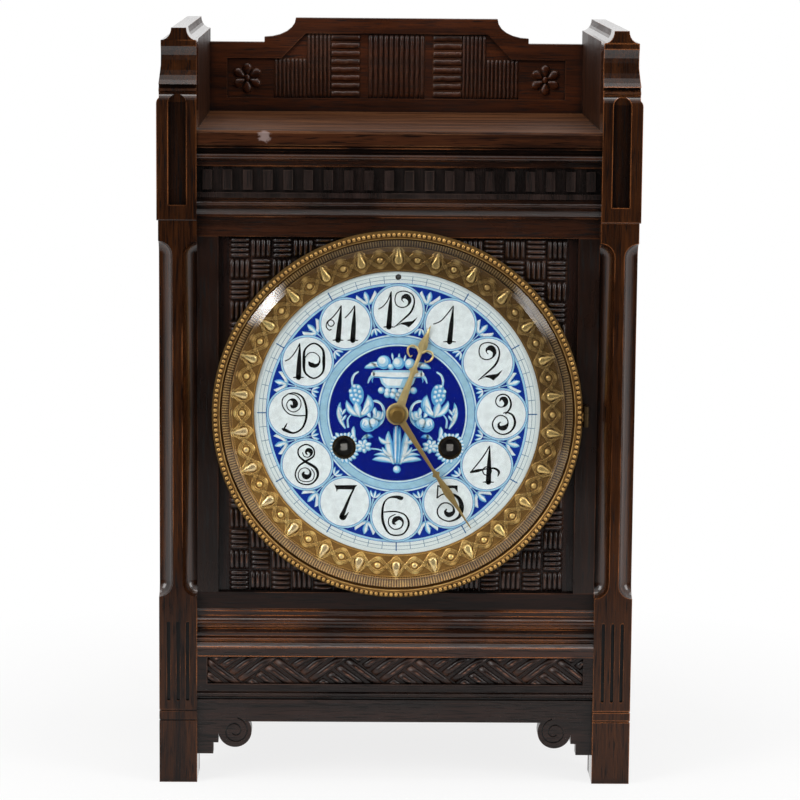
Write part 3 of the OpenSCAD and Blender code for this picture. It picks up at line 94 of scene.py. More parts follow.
# %% [markdown]
# Colours are picked as sRGB hex values, as a paint chart gives them, and shaders work in
# linear light, so one function changes them. Another adds a node with its settings and links
# and gives its output, so that a finish reads as a recipe: each step hands its result on.

# %% Colours and nodes


def linear(code):
    """The linear RGBA of an sRGB hex colour."""
    parts = [int(code[i:i + 2], 16) / 255 for i in (1, 3, 5)]
    return tuple(c / 12.92 if c < 0.04045 else ((c + 0.055) / 1.055) ** 2.4 for c in parts) + (1.0,)


def empty_tree(owner):
    """The node tree of a material, world or lamp, with nothing in it yet."""
    owner.use_nodes = True
    owner.node_tree.nodes.clear()
    return owner.node_tree


def add(tree, kind, inputs=(), out=0, stops=(), **settings):
    """Adds a node and gives one of its outputs, or all of them for out=None.

    Settings are the node's own, inputs map its sockets to values or to other outputs, and
    stops are the (position, colour) marks of a colour ramp.
    """
    node = tree.nodes.new(kind)
    for name, value in settings.items():
        setattr(node, name, value)
    for name, value in dict(inputs).items():
        if isinstance(value, bpy.types.NodeSocket):
            tree.links.new(value, node.inputs[name])
        else:
            node.inputs[name].default_value = value
    for number, (position, colour) in enumerate(stops):
        marks = node.color_ramp.elements
        mark = marks[number] if number < len(marks) else marks.new(position)
        mark.position, mark.color = position, colour
    return node.outputs if out is None else node.outputs[out]


print("oak brown in linear light:", [round(c, 3) for c in linear("#3a231a")])

# %% [markdown]
# The photograph was taken with a long lens, a little above the clock and a little to its left,
# so the gallery's shelf shows and the sides don't. The place, the tilt and the focal length
# were worked out from the straight edges of the case and the round of the bezel.

# %% Camera
PITCH, YAW, ROLL = 0.1531, 0.0146, 0.0085
CAMERA_AT = (-0.0237, FRONT - 1.712, 0.4753)
FOCAL_PIXELS, PHOTO_PIXELS, SENSOR = 3242, 800, 36

ahead = Vector((math.sin(YAW) * math.cos(PITCH), math.cos(YAW) * math.cos(PITCH), -math.sin(PITCH)))
right = Vector((math.cos(YAW), -math.sin(YAW), 0))
above = right.cross(ahead)
turned_right = right * math.cos(ROLL) + above * math.sin(ROLL)
turned_above = above * math.cos(ROLL) - right * math.sin(ROLL)
camera = put("camera", bpy.data.cameras.new("camera"))
looking = Matrix((turned_right, turned_above, -ahead)).transposed().to_4x4()
camera.matrix_world = Matrix.Translation(CAMERA_AT) @ looking
camera.data.lens = FOCAL_PIXELS / PHOTO_PIXELS * SENSOR
camera.data.sensor_width = SENSOR
camera.data.clip_start = 0.05
bpy.context.scene.camera = camera
print("lens:", round(camera.data.lens, 1), "mm")

# %% [markdown]
# The clock stands in a studio, on a white sweep that carries the floor up behind it. The sweep
# is plain white where the camera, metal or glass sees it from afar. Near the clock its paint is
# real, so it keeps a soft shadow.

# %% White sweep


def painted_sweep():
    """White studio paint: shaded near the clock, plain white further off."""
    material = bpy.data.materials.new("matt_white_studio_paint")
    tree = empty_tree(material)
    where = add(tree, "ShaderNodeTexCoord", out="Object")
    reach = add(tree, "ShaderNodeVectorMath", {0: where}, out="Value", operation="LENGTH")
    far = add(tree, "ShaderNodeMapRange", {"Value": reach, "From Min": 0.2, "From Max": 0.4, "To Min": 0.82})
    path = add(tree, "ShaderNodeLightPath", out=None)
    seen = path["Is Camera Ray"]
    for mirrored in ("Is Glossy Ray", "Is Transmission Ray"):
        seen = add(tree, "ShaderNodeMath", {0: seen, 1: path[mirrored]}, operation="MAXIMUM")
    plain = add(tree, "ShaderNodeMath", {0: seen, 1: far}, operation="MULTIPLY")
    paint = add(tree, "ShaderNodeBsdfDiffuse", {"Color": linear("#f7f7f6")})
    white = add(tree, "ShaderNodeEmission", {"Color": linear("#ffffff"), "Strength": 1.0})
    both = add(tree, "ShaderNodeMixShader", {0: plain, 1: paint, 2: white})
    add(tree, "ShaderNodeOutputMaterial", {"Surface": both}, out=None)
    return material


def sweep(front=-0.56, back=1.6, bend=0.9, top=3.2, half=2.6, steps=8):
    """Floor and back wall in one bent sheet."""
    turns = [math.pi / 2 * i / steps for i in range(1, steps + 1)]
    section = [(front, 0), (back, 0)]
    section += [(back + bend * math.sin(a), bend - bend * math.cos(a)) for a in turns]
    section += [(back + bend, top)]
    mesh = bpy.data.meshes.new("sweep")
    verts = [(x, y, z) for y, z in section for x in (-half, half)]
    faces = [(2 * i, 2 * i + 1, 2 * i + 3, 2 * i + 2) for i in range(len(section) - 1)]
    mesh.from_pydata(verts, [], faces)
    for face in mesh.polygons:
        face.use_smooth = True
    mesh.materials.append(painted_sweep())
    put("sweep", mesh)
    return mesh


print("sweep faces:", len(sweep().polygons))

# %% [markdown]
# Dark polished wood is shown by what it mirrors: large soft boxes draw long highlights on its
# mouldings. Two narrow lamps, faded towards their rims, make the glints on the window's bevel.
# They are placed by mirroring the camera's view in the bevel, which slopes as the solid does.

# %% Soft boxes and glints
BEVEL_RING, BEVEL_SLOPE = 91.7, 18.8


def area_lamp(name, size, watts):
    """An oblong soft box, still at the origin."""
    lamp = bpy.data.lights.new(name, "AREA")
    lamp.shape = "RECTANGLE"
    lamp.size, lamp.size_y = size
    lamp.energy = watts
    return put(name, lamp)


def soft_lamp(name, at, size, watts, towards=(0, 0, 0.2)):
    """A soft box that faces the clock."""
    lamp = area_lamp(name, size, watts)
    lamp.location = at
    lamp.rotation_euler = (Vector(towards) - Vector(at)).to_track_quat("-Z", "Y").to_euler()


def glint_lamp(name, clock_angle, size, watts, away=1.3):
    """A lamp placed where the window's bevel mirrors it at an angle clockwise from twelve."""
    a, slope = math.radians(clock_angle), math.radians(BEVEL_SLOPE)
    spot = place(DIAL_X + BEVEL_RING * math.sin(a), 0, DIAL_Z + BEVEL_RING * math.cos(a))
    facing = Vector((math.sin(a) * math.sin(slope), -math.cos(slope), math.cos(a) * math.sin(slope)))
    view = (camera.matrix_world.translation - spot).normalized()
    way = 2 * facing.dot(view) * facing - view
    tangent = Vector((math.cos(a), 0, -math.sin(a)))
    wide = (tangent - way * tangent.dot(way)).normalized()
    lamp = area_lamp(name, size, watts)
    turned = Matrix((wide, way.cross(wide), way)).transposed()
    lamp.matrix_world = Matrix.Translation(spot + way * away) @ turned.to_4x4()
    tree = empty_tree(lamp.data)
    spot_on = add(tree, "ShaderNodeNewGeometry", out="Parametric")
    # each fade peaks at a half, so the glow is 1 in the lamp's middle
    glow = 4.0
    for share in add(tree, "ShaderNodeSeparateXYZ", {"Vector": spot_on}, out=None)[:2]:
        fade = add(tree, "ShaderNodeMath", {0: share, 1: 0.5}, operation="PINGPONG")
        glow = add(tree, "ShaderNodeMath", {0: glow, 1: fade}, operation="MULTIPLY")
    shine = add(tree, "ShaderNodeEmission", {"Color": linear("#ffffff"), "Strength": glow})
    add(tree, "ShaderNodeOutputLight", {"Surface": shine}, out=None)


soft_lamp("left_box", (-1.5, -1.25, 1.15), (0.8, 1.2), 19)
soft_lamp("right_box", (1.6, -1.1, 0.9), (0.6, 1.2), 14)
soft_lamp("top_box", (0, -0.2, 1.9), (1.4, 0.9), 14)
glint_lamp("left_glint", -49, (0.34, 0.022), 0.75)
glint_lamp("right_glint", 50, (1.0, 0.024), 0.5)

# %% [markdown]
# The room in front is dim, so that metal and wax don't turn grey, and its ceiling is light. To
# the camera it is white beyond the sweep's rim, so no horizon shows.

# %% Room


def room():
    """Even light all round, but nearly dark ahead of the dial for whatever mirrors it."""
    world = bpy.data.worlds.new("room")
    tree = empty_tree(world)
    way = add(tree, "ShaderNodeTexCoord", out="Generated")
    way = add(tree, "ShaderNodeSeparateXYZ", {"Vector": way}, out=None)
    ahead = add(tree, "ShaderNodeMapRange", {"Value": way["Y"], "From Min": -0.45, "From Max": -0.88,
                                             "To Min": 0.8, "To Max": 0.02})
    ceiling = add(tree, "ShaderNodeMapRange", {"Value": way["Z"], "From Min": 0.38, "From Max": 0.7,
                                               "To Max": 1.1})
    mirrored = add(tree, "ShaderNodeMath", {0: ahead, 1: ceiling}, operation="MAXIMUM")
    path = add(tree, "ShaderNodeLightPath", out=None)
    strength = add(tree, "ShaderNodeMix", {0: path["Is Glossy Ray"], 2: 0.34, 3: mirrored})
    # the camera sees plain white, also through glass, but nothing is lit by that white
    bounced = add(tree, "ShaderNodeMath", {0: path["Diffuse Depth"], 1: path["Glossy Depth"]},
                  operation="ADD")
    direct = add(tree, "ShaderNodeMath", {0: bounced, 1: 0.5}, operation="LESS_THAN")
    through = add(tree, "ShaderNodeMath", {0: path["Is Transmission Ray"], 1: direct}, operation="MULTIPLY")
    for straight in (path["Is Camera Ray"], through):
        strength = add(tree, "ShaderNodeMath", {0: strength, 1: straight}, operation="MAXIMUM")
    glow = add(tree, "ShaderNodeBackground", {"Color": linear("#ffffff"), "Strength": strength})
    add(tree, "ShaderNodeOutputWorld", {"Surface": glow}, out=None)
    return world


bpy.context.scene.world = room()
bpy.context.scene.view_settings.view_transform = "Standard"
print("room:", bpy.context.scene.world.name)

# %% [markdown]
# The case is oak, fumed and stained nearly black, then waxed. Its looks come from four things:
# fibres and growth bands drawn out along the board, open pores that hold dark wax, edges
# rubbed back to orange wood, and painted shade, with dust and wax, in the hollows. A bevelled
# normal finds the edges and ambient occlusion the hollows, so the wear sits where hands would leave it.

# %% Stained oak
GRAIN_SQUEEZE = 0.045


def stained_oak(name, along, dark, light, worn, rub=1.0, shine=0.24, crested=False, over=None,
                gloss=0.5, waxed=None):
    """Waxed, stained oak with its grain along X, Y or Z.

    Rub is how far its edges are worn, shine its least roughness and gloss how much it mirrors.
    Crested oak takes its worn colour where the mesh's crest is high: wear and painted highlight.
    Two recipes may be handed in: over paints on the wood's colour, and waxed says where a coat of wax lies.
    """
    material = bpy.data.materials.new(name)
    tree = empty_tree(material)
    dark, light, worn = linear(dark), linear(light), linear(worn)
    where = add(tree, "ShaderNodeTexCoord", out="Object")
    squeeze = Vector((1, 1, 1))
    squeeze["XYZ".index(along)] = GRAIN_SQUEEZE
    drawn = add(tree, "ShaderNodeMapping", {"Vector": where, "Scale": squeeze})
    # fibres 0.9 mm apart, growth bands 7 mm apart, pores 0.5 mm wide and 10 mm long
    fibre = add(tree, "ShaderNodeTexNoise", {"Vector": drawn, "Scale": 1100, "Detail": 3, "Roughness": 0.6})
    band = add(tree, "ShaderNodeTexNoise", {"Vector": drawn, "Scale": 150, "Detail": 2, "Distortion": 0.6})
    pore = add(tree, "ShaderNodeTexNoise", {"Vector": drawn, "Scale": 1700, "Detail": 1})
    pore = add(tree, "ShaderNodeMapRange", {"Value": pore, "From Min": 0.56, "From Max": 0.68})
    cloud = add(tree, "ShaderNodeTexNoise", {"Vector": where, "Scale": 22, "Detail": 3})
    tone = add(tree, "ShaderNodeMix", {0: 0.45, 2: band, 3: fibre})
    wood = add(tree, "ShaderNodeValToRGB", {"Fac": tone}, stops=[(0.34, dark), (0.72, light)])
    # rubbed edges: where a normal rounded over 0.9 mm parts from the true one, in patches
    true = add(tree, "ShaderNodeNewGeometry", out="True Normal")
    eased = add(tree, "ShaderNodeBevel", {"Radius": 0.0009}, samples=4)
    turn = add(tree, "ShaderNodeVectorMath", {0: true, 1: eased}, out="Value", operation="DOT_PRODUCT")
    edge = add(tree, "ShaderNodeMapRange", {"Value": turn, "From Min": 0.985, "From Max": 0.8})
    hollow = add(tree, "ShaderNodeAmbientOcclusion", {"Distance": 0.006}, out="AO", samples=6)
    clear = add(tree, "ShaderNodeMapRange", {"Value": hollow, "From Min": 0.35, "From Max": 0.85})
    patch = add(tree, "ShaderNodeMapRange", {"Value": cloud, "From Min": 0.42, "From Max": 0.62})
    for share in (patch, clear, rub):
        edge = add(tree, "ShaderNodeMath", {0: edge, 1: share}, operation="MULTIPLY", use_clamp=True)
    if crested:
        # crests take the worn colour: wear, and a painted highlight along each crown
        crest = add(tree, "ShaderNodeAttribute", out="Fac", attribute_name="crest")
        crest = add(tree, "ShaderNodeMapRange", {"Value": crest, "From Min": 0.84, "From Max": 1.0})
        crest_wear_and_highlight = add(tree, "ShaderNodeMapRange", {"Value": fibre, "From Min": 0.42, "From Max": 0.6,
                                                  "To Min": 0.15, "To Max": 0.9})
        crest = add(tree, "ShaderNodeMath", {0: crest, 1: crest_wear_and_highlight}, operation="MULTIPLY")
        edge = add(tree, "ShaderNodeMath", {0: edge, 1: crest}, operation="MAXIMUM")
    pore_wax = tuple(0.6 * part for part in dark[:3]) + (1.0,)
    # in sheltered hollows the colour starts from near-black: painted shade, with dust and wax
    colour = linear("#0d0807")
    for share, next_colour in ((clear, wood), (pore, pore_wax), (edge, worn)):
        colour = add(tree, "ShaderNodeMix", {0: share, 6: colour, 7: next_colour}, out=2, data_type="RGBA")
    if over:
        colour = over(tree, colour, tone)
    rough = add(tree, "ShaderNodeMapRange", {"Value": cloud, "From Min": 0.3, "From Max": 0.7,
                                             "To Min": shine, "To Max": shine + 0.14})
    rough = add(tree, "ShaderNodeMath", {0: pore, 1: 0.12, 2: rough}, operation="MULTIPLY_ADD")
    height = add(tree, "ShaderNodeMath", {0: pore, 1: -1.0, 2: fibre}, operation="MULTIPLY_ADD")
    bump = add(tree, "ShaderNodeBump", {"Strength": 0.14, "Distance": 0.0002, "Height": height})
    skin = add(tree, "ShaderNodeBsdfPrincipled", {
        "Base Color": colour, "Roughness": rough, "Normal": bump, "IOR": 1.45, "Specular IOR Level": gloss,
        "Coat Roughness": 0.16, "Coat Weight": waxed(tree) if waxed else 0.0})
    add(tree, "ShaderNodeOutputMaterial", {"Surface": skin}, out=None)
    return material


print("grain is drawn out", round(1 / GRAIN_SQUEEZE), "times along a board")

# %% [markdown]
# A few places need more than wood. The pillars' flutes and niches are painted near-black as
# painted shade, the shelf's top is paler along its streaks and its front edge has lost a splinter,
# and a coat of wax still shines on rounds, hollows and tops, but no longer on the flats that hands and dust
# have dulled.

# %% Painted shade, paler tops and wax
CHIP_X = -71.5


def shaded_flutes(tree, colour, tone):
    """The three flutes in each pillar's base block, and its niche, are painted near-black as shade."""
    where = add(tree, "ShaderNodeTexCoord", out="Object")
    x, y, z = add(tree, "ShaderNodeSeparateXYZ", {"Vector": where}, out=None)
    middle = (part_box("right_pillar")[0].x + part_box("right_pillar")[1].x - 0.8 * MM) / 2
    across = add(tree, "ShaderNodeMath", {0: x}, operation="ABSOLUTE")
    across = add(tree, "ShaderNodeMath", {0: across, 1: middle}, operation="SUBTRACT")
    flute = add(tree, "ShaderNodeMath", {0: across, 1: 2.55 * MM, 2: -2.55 * MM}, operation="WRAP")
    flute = add(tree, "ShaderNodeMath", {0: flute, 1: 0.0, 2: 0.95 * MM}, operation="COMPARE")
    black = 0.0
    # each place: its share of black, half its width, its depth and half its reach, bottom and top
    for share, half_width, depth, half_depth, bottom, top in (
            (flute, 6.4, 1.9, 1.3, 45.6, 88.9), (0.65, 4.9, 2.1, 0.9, 314.6, 369)):
        foot, head = place(0, depth, bottom), place(0, depth, top)
        for value, centre, reach in ((across, 0.0, half_width * MM), (y, foot.y, half_depth * MM),
                                     (z, (foot.z + head.z) / 2, (head.z - foot.z) / 2)):
            near = add(tree, "ShaderNodeMath", {0: value, 1: centre, 2: reach}, operation="COMPARE")
            share = add(tree, "ShaderNodeMath", {0: share, 1: near}, operation="MULTIPLY")
        black = add(tree, "ShaderNodeMath", {0: black, 1: share}, operation="MAXIMUM")
    # painted shade: these places are mixed to near-black
    return add(tree, "ShaderNodeMix", {0: black, 6: colour, 7: linear("#060404")}, out=2, data_type="RGBA")


def paler_tops_and_chip(tree, colour, tone):
    """The shelf's upward faces are paler along its streaks, and its front edge has lost a splinter."""
    facing = add(tree, "ShaderNodeNewGeometry", out="True Normal")
    up = add(tree, "ShaderNodeSeparateXYZ", {"Vector": facing}, out="Z")
    streak = add(tree, "ShaderNodeMapRange", {"Value": tone, "From Min": 0.44, "From Max": 0.57})
    faded = add(tree, "ShaderNodeMath", {0: up, 1: streak}, operation="MULTIPLY", use_clamp=True)
    where = add(tree, "ShaderNodeTexCoord", out="Object")
    # the splinter's rim is ragged by 2.4 mm, about the width of a fibre bundle
    ragged = add(tree, "ShaderNodeTexNoise", {"Vector": where, "Scale": 420, "Detail": 3}, out="Color")
    shaken = add(tree, "ShaderNodeVectorMath", {0: ragged, "Scale": 0.005}, operation="SCALE")
    shaken = add(tree, "ShaderNodeVectorMath", {0: where, 1: shaken}, operation="ADD")
    spot = place(CHIP_X, 1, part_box("shelf")[1].z / MM - 2) + Vector((0.0025, 0.0025, 0.0015))
    away = add(tree, "ShaderNodeVectorMath", {0: shaken, 1: spot}, out="Value", operation="DISTANCE")
    chip = add(tree, "ShaderNodeMapRange", {"Value": away, "From Min": 0.0036, "From Max": 0.0026})
    for share, next_colour in ((faded, linear("#5f3c24")), (chip, linear("#84716c"))):
        colour = add(tree, "ShaderNodeMix", {0: share, 6: colour, 7: next_colour}, out=2, data_type="RGBA")
    return colour


def waxed_rounds(tree):
    """Flat fronts are dulled by handling, and hollows and rounds keep their coat of wax."""
    facing = add(tree, "ShaderNodeNewGeometry", out="True Normal")
    forward = add(tree, "ShaderNodeSeparateXYZ", {"Vector": facing}, out="Y")
    return add(tree, "ShaderNodeMapRange", {"Value": forward, "From Min": -0.99, "From Max": -0.9,
                                            "To Min": 0.0, "To Max": 0.8})


def waxed_tops(tree):
    """No wax is left on upright faces that look left or right, where years of dust have settled."""
    facing = add(tree, "ShaderNodeNewGeometry", out="True Normal")
    sideways = add(tree, "ShaderNodeSeparateXYZ", {"Vector": facing}, out="X")
    sideways = add(tree, "ShaderNodeMath", {0: sideways}, operation="ABSOLUTE")
    return add(tree, "ShaderNodeMapRange", {"Value": sideways, "From Min": 0.7, "From Max": 0.95,
                                            "To Min": 1.0, "To Max": 0.0})


print("the chip lies at", CHIP_X, "mm")

# %% [markdown]
# No two boards of the clock took the stain alike, and none is handled alike. Each finish says
# which way its board runs, its tones from pore to rubbed edge, and how far it is worn.

# %% Oak finishes
# pillars: worn to orange on their corners, with bright lines on the rounds
oak_pillar = stained_oak("waxed_oak_pillar", "Z", "#170b07", "#4a2811", "#ae6838", 1.3, 0.16,
                         over=shaded_flutes, gloss=0.25, waxed=waxed_rounds)
# stiles: close to black, so they set off the weave
oak_stile = stained_oak("waxed_oak_stile", "Z", "#120906", "#28150c", "#6a3a1d", 0.8)
# sides: dull and dusty, with a white gleam only on their tops
oak_side = stained_oak("waxed_oak_side", "Z", "#1a0f0a", "#4a2a19", "#8a5430", 0.8, 0.3, gloss=0.12,
                       waxed=waxed_tops)
# cornice and top rail: the glossiest wood, lined with long highlights
oak_level = stained_oak("waxed_oak_level", "X", "#150b07", "#3d2012", "#9a5a2e", 1.2, 0.18)
# bottom rail, lattice board and apron: darker and duller, with sparse wear
oak_rail = stained_oak("waxed_oak_low_rail", "X", "#0f0705", "#2b160d", "#7a4829", 0.9, 0.3, gloss=0.3)
oak_dark = stained_oak("waxed_oak_dark", "X", "#0d0705", "#2e1912", "#6a402c", 0.35, 0.2, gloss=0.4)
# lattice rods take their worn colour on their crests: wear, and a painted highlight
oak_lattice = stained_oak("waxed_oak_lattice", "X", "#0e0706", "#28160f", "#8a6250", 0.4, 0.2, True,
                          gloss=0.35)
# dentils: a lighter, greyer oak, as painted light on them
oak_dentil = stained_oak("waxed_oak_dentil", "Z", "#15100e", "#3a2c28", "#5a463c", 0.5, 0.2)
# gallery and shelf: red-brown, and the shelf's upward faces paler along its streaks
oak_gallery = stained_oak("waxed_oak_gallery", "X", "#1c0d07", "#5e2d12", "#7d4a2a", 0.8)
# gallery reeds take their worn colour on their crowns: wear, and a painted highlight
oak_reeds = stained_oak("waxed_oak_reeds", "X", "#1d0e07", "#5c2c11", "#7e5a40", 0.3, 0.3, True)
oak_shelf = stained_oak("waxed_oak_shelf", "X", "#1d0f09", "#4b2815", "#9c6a42", 0.9, 0.42,
                        over=paler_tops_and_chip, gloss=0.05)
# base moulding: the most knocked and rubbed, orange along every edge
oak_base = stained_oak("waxed_oak_base", "X", "#140904", "#3c1d0e", "#c4702f", 1.9, 0.16)
# basket weave: black in its depths as painted shade, and its worn colour on each reed's crown as wear and
# painted highlight
oak_carved = stained_oak("waxed_oak_carved", "Z", "#0f0706", "#301a12", "#6f4a36", 0.6, 0.2, True)
# inside and back: oiled only, so pale and matt
oak_inside = stained_oak("oiled_oak_inside", "Z", "#4a3324", "#7c5a40", "#93714f", 0.5, 0.55)
print("oak finishes:", sum("oak" in material.name for material in bpy.data.materials))

# %% [markdown]
# Metals differ by how they were worked. The bezel and the pressed ring are lacquered brass
# gone brown in the hollows, the hands are gilt, the movement is plain polished brass, and
# the arbors are steel. Each takes its colour from a clean tone and a tarnish, mixed by a
# cloud of noise and by how sheltered the spot is, with fine polishing marks in the roughness.

# %% Worked metals


def worked_metal(name, clean, tarnish, spread, rough, sheltered=0.004, metallic=1.0):
    """Metal with tarnish in its hollows and a soft cloud of it elsewhere."""
    material = bpy.data.materials.new(name)
    tree = empty_tree(material)
    where = add(tree, "ShaderNodeTexCoord", out="Object")
    # clouds of tarnish 8 mm across, and polishing grit 0.6 mm wide, as fine as the render can show
    cloud = add(tree, "ShaderNodeTexNoise", {"Vector": where, "Scale": 120, "Detail": 5, "Roughness": 0.65})
    grit = add(tree, "ShaderNodeTexNoise", {"Vector": where, "Scale": 1600, "Detail": 2})
    hollow = add(tree, "ShaderNodeAmbientOcclusion", {"Distance": sheltered}, out="AO", samples=6)
    clear = add(tree, "ShaderNodeMapRange", {"Value": hollow, "From Min": 0.4, "From Max": 0.95})
    dull = add(tree, "ShaderNodeMapRange", {"Value": cloud, "From Min": 0.35, "From Max": 0.7,
                                            "To Min": 1.0, "To Max": 1.0 - spread})
    bright = add(tree, "ShaderNodeMath", {0: clear, 1: dull}, operation="MULTIPLY")
    colour = add(tree, "ShaderNodeMix", {0: bright, 6: linear(tarnish), 7: linear(clean)}, out=2,
                 data_type="RGBA")
    polish = add(tree, "ShaderNodeMapRange", {"Value": bright, "To Min": rough + 0.25, "To Max": rough})
    polish = add(tree, "ShaderNodeMath", {0: grit, 1: 0.06, 2: polish}, operation="MULTIPLY_ADD")
    bump = add(tree, "ShaderNodeBump", {"Strength": 0.15, "Distance": 0.0001, "Height": grit})
    skin = add(tree, "ShaderNodeBsdfPrincipled", {
        "Base Color": colour, "Metallic": metallic, "Roughness": polish, "Normal": bump})
    add(tree, "ShaderNodeOutputMaterial", {"Surface": skin}, out=None)
    return material


# lacquered brass, spun and beaded: golden on the beads, brown between them
brass_bezel = worked_metal("lacquered_brass_bezel", "#c79d5b", "#643f1c", 0.6, 0.28, 0.003, 0.85)
# blackened brass for the collars that hardly show, and a darker brass as painted shade on the hinges and
# between the beads
brass_collar = worked_metal("blackened_brass_and_painted_shade", "#4b3c28", "#16100b", 0.6, 0.45)
# gilt brass, filed by hand: pale, soft and a little matt
gilt_hands = worked_metal("gilt_brass_hands", "#cdb680", "#8d7446", 0.4, 0.4, metallic=0.7)
# turned brass: one small bright point
brass_nut = worked_metal("turned_brass_nut", "#c9b27c", "#7d6133", 0.35, 0.22, metallic=0.9)
# polished brass plates and wheels: clean and golden, as they lie shut away
brass_works = worked_metal("polished_brass_works", "#c8a352", "#7b5a28", 0.3, 0.22)
# cast brass fittings: deeper in tone, brown where fingers don't reach
brass_fitting = worked_metal("cast_brass_fitting", "#b08c4c", "#4d3517", 0.4, 0.32)
# turned steel arbors: grey and bright, but dull on the worn winding squares
steel_works = worked_metal("turned_steel_works", "#a9a9ab", "#5c5853", 0.3, 0.25)
steel_dull = worked_metal("dull_winding_steel", "#8f8a85", "#4a4641", 0.4, 0.45, metallic=0.5)
# steel wire blued by heat, and black cast iron under it
steel_blued = worked_metal("blued_steel", "#34415f", "#20242f", 0.4, 0.25)
iron_stand = worked_metal("black_iron", "#3b3d41", "#1e1c1b", 0.5, 0.5)
print("worked metals:", sum(word in material.name for material in bpy.data.materials
                            for word in ("brass", "steel", "iron")))

# %% [markdown]
# Behind the window lie two rings of thin brass: a band engraved with fine rays, and a sheet
# pressed over a die. Both are painted lighter low on the left and darker high on the right:
# painted light.

# %% Engraved and pressed brass


def painted_light_low_left(tree, where, colour):
    """Painted light: brass is made lighter low on the left and darker high on the right."""
    lean, reach, brightest = 0.7, 0.065, Vector((0.92, 0.68, 0.38))
    middle = -lean * (DIAL_X + DIAL_Z) * MM
    low_left = add(tree, "ShaderNodeVectorMath", {0: where, 1: Vector((-lean, 0, -lean))}, out="Value",
                   operation="DOT_PRODUCT")
    gain = add(tree, "ShaderNodeMapRange", {"Value": low_left, "From Min": middle - reach,
                                            "From Max": middle + reach, "To Min": 0.72, "To Max": 1.7})
    colour = add(tree, "ShaderNodeVectorMath", {0: colour, "Scale": gain}, operation="SCALE")
    return add(tree, "ShaderNodeVectorMath", {0: colour, 1: brightest}, operation="MINIMUM")


def engraved_brass():
    """Brass cut with fine rays about the dial's centre, which catch the light as a dull sheen."""
    material = bpy.data.materials.new("engraved_brass_band")
    tree = empty_tree(material)
    where = add(tree, "ShaderNodeTexCoord", out="Object")
    centred = add(tree, "ShaderNodeMapping", {"Vector": where, "Location": -place(DIAL_X, 0, DIAL_Z)})
    x, _, z = add(tree, "ShaderNodeSeparateXYZ", {"Vector": centred}, out=None)
    # 416 rays, 1.4 mm apart, which is as fine as the render can show
    angle = add(tree, "ShaderNodeMath", {0: x, 1: z}, operation="ARCTAN2")
    rays = add(tree, "ShaderNodeMath", {0: angle, 1: 416.0}, operation="MULTIPLY")
    rays = add(tree, "ShaderNodeMath", {0: rays}, operation="SINE")
    # clouds of wear 8 mm across
    cloud = add(tree, "ShaderNodeTexNoise", {"Vector": where, "Scale": 130, "Detail": 5, "Roughness": 0.65})
    clean = add(tree, "ShaderNodeMath", {0: cloud, 1: 1.5, 2: rays}, operation="MULTIPLY_ADD")
    clean = add(tree, "ShaderNodeMapRange", {"Value": clean, "From Min": -0.6, "From Max": 2.0})
    colour = add(tree, "ShaderNodeValToRGB", {"Fac": clean}, stops=[
        (0.1, linear("#4d3418")), (0.5, linear("#96713f")), (0.9, linear("#c9a368"))])
    rough = add(tree, "ShaderNodeMapRange", {"Value": cloud, "To Min": 0.25, "To Max": 0.5})
    bump = add(tree, "ShaderNodeBump", {"Strength": 0.4, "Distance": 0.0001, "Height": rays})
    skin = add(tree, "ShaderNodeBsdfPrincipled", {
        "Base Color": painted_light_low_left(tree, where, colour), "Metallic": 0.75, "Roughness": rough,
        "Normal": bump})
    add(tree, "ShaderNodeOutputMaterial", {"Surface": skin}, out=None)
    return material


def pressed_brass():
    """Pressed sheet brass: rubbed bright where the attribute lift is high, brown below."""
    material = bpy.data.materials.new("pressed_sheet_brass")
    tree = empty_tree(material)
    where = add(tree, "ShaderNodeTexCoord", out="Object")
    lift = add(tree, "ShaderNodeAttribute", out="Fac", attribute_name="lift")
    # clouds of wear 11 mm across, and a grain of 0.7 mm, coarser than rolled sheet has, so it shows
    cloud = add(tree, "ShaderNodeTexNoise", {"Vector": where, "Scale": 90, "Detail": 4, "Roughness": 0.6})
    grit = add(tree, "ShaderNodeTexNoise", {"Vector": where, "Scale": 1500, "Detail": 2})
    rubbed = add(tree, "ShaderNodeMapRange", {"Value": cloud, "From Min": 0.3, "From Max": 0.7,
                                              "To Min": 0.62, "To Max": 1.15})
    high = add(tree, "ShaderNodeMath", {0: lift, 1: rubbed}, operation="MULTIPLY")
    colour = add(tree, "ShaderNodeValToRGB", {"Fac": high}, stops=[
        (0.05, linear("#5c3d1a")), (0.34, linear("#a57c40")), (0.9, linear("#ecc680"))])
    # painted shade, with tarnish: within 1.4 mm of a fold the brass darkens to near-black
    fold = add(tree, "ShaderNodeAmbientOcclusion", {"Distance": 0.0014}, out="AO", samples=6)
    fold = add(tree, "ShaderNodeMapRange", {"Value": fold, "From Min": 0.5, "From Max": 0.92})
    colour = add(tree, "ShaderNodeMix", {0: fold, 6: linear("#22140a"), 7: colour}, out=2, data_type="RGBA")
    rough = add(tree, "ShaderNodeMapRange", {"Value": high, "To Min": 0.55, "To Max": 0.26})
    bump = add(tree, "ShaderNodeBump", {"Strength": 0.2, "Distance": 0.0001, "Height": grit})
    skin = add(tree, "ShaderNodeBsdfPrincipled", {
        "Base Color": painted_light_low_left(tree, where, colour), "Metallic": 0.75, "Roughness": rough,
        "Normal": bump})
    add(tree, "ShaderNodeOutputMaterial", {"Surface": skin}, out=None)
    return material


brass_pressed = pressed_brass()
brass_band = engraved_brass()
print("brasses behind the window:", brass_pressed.name, brass_band.name)

# %% [markdown]
# The dial is glazed porcelain: a white body under a clear glaze, so its colour is soft and its
# shine is a separate smooth coat. The window is thin bevelled glass. A lamp can't see through
# real glass in a path tracer without noise, so shadow rays pass it by a transparent shader.

# %% Porcelain and glass


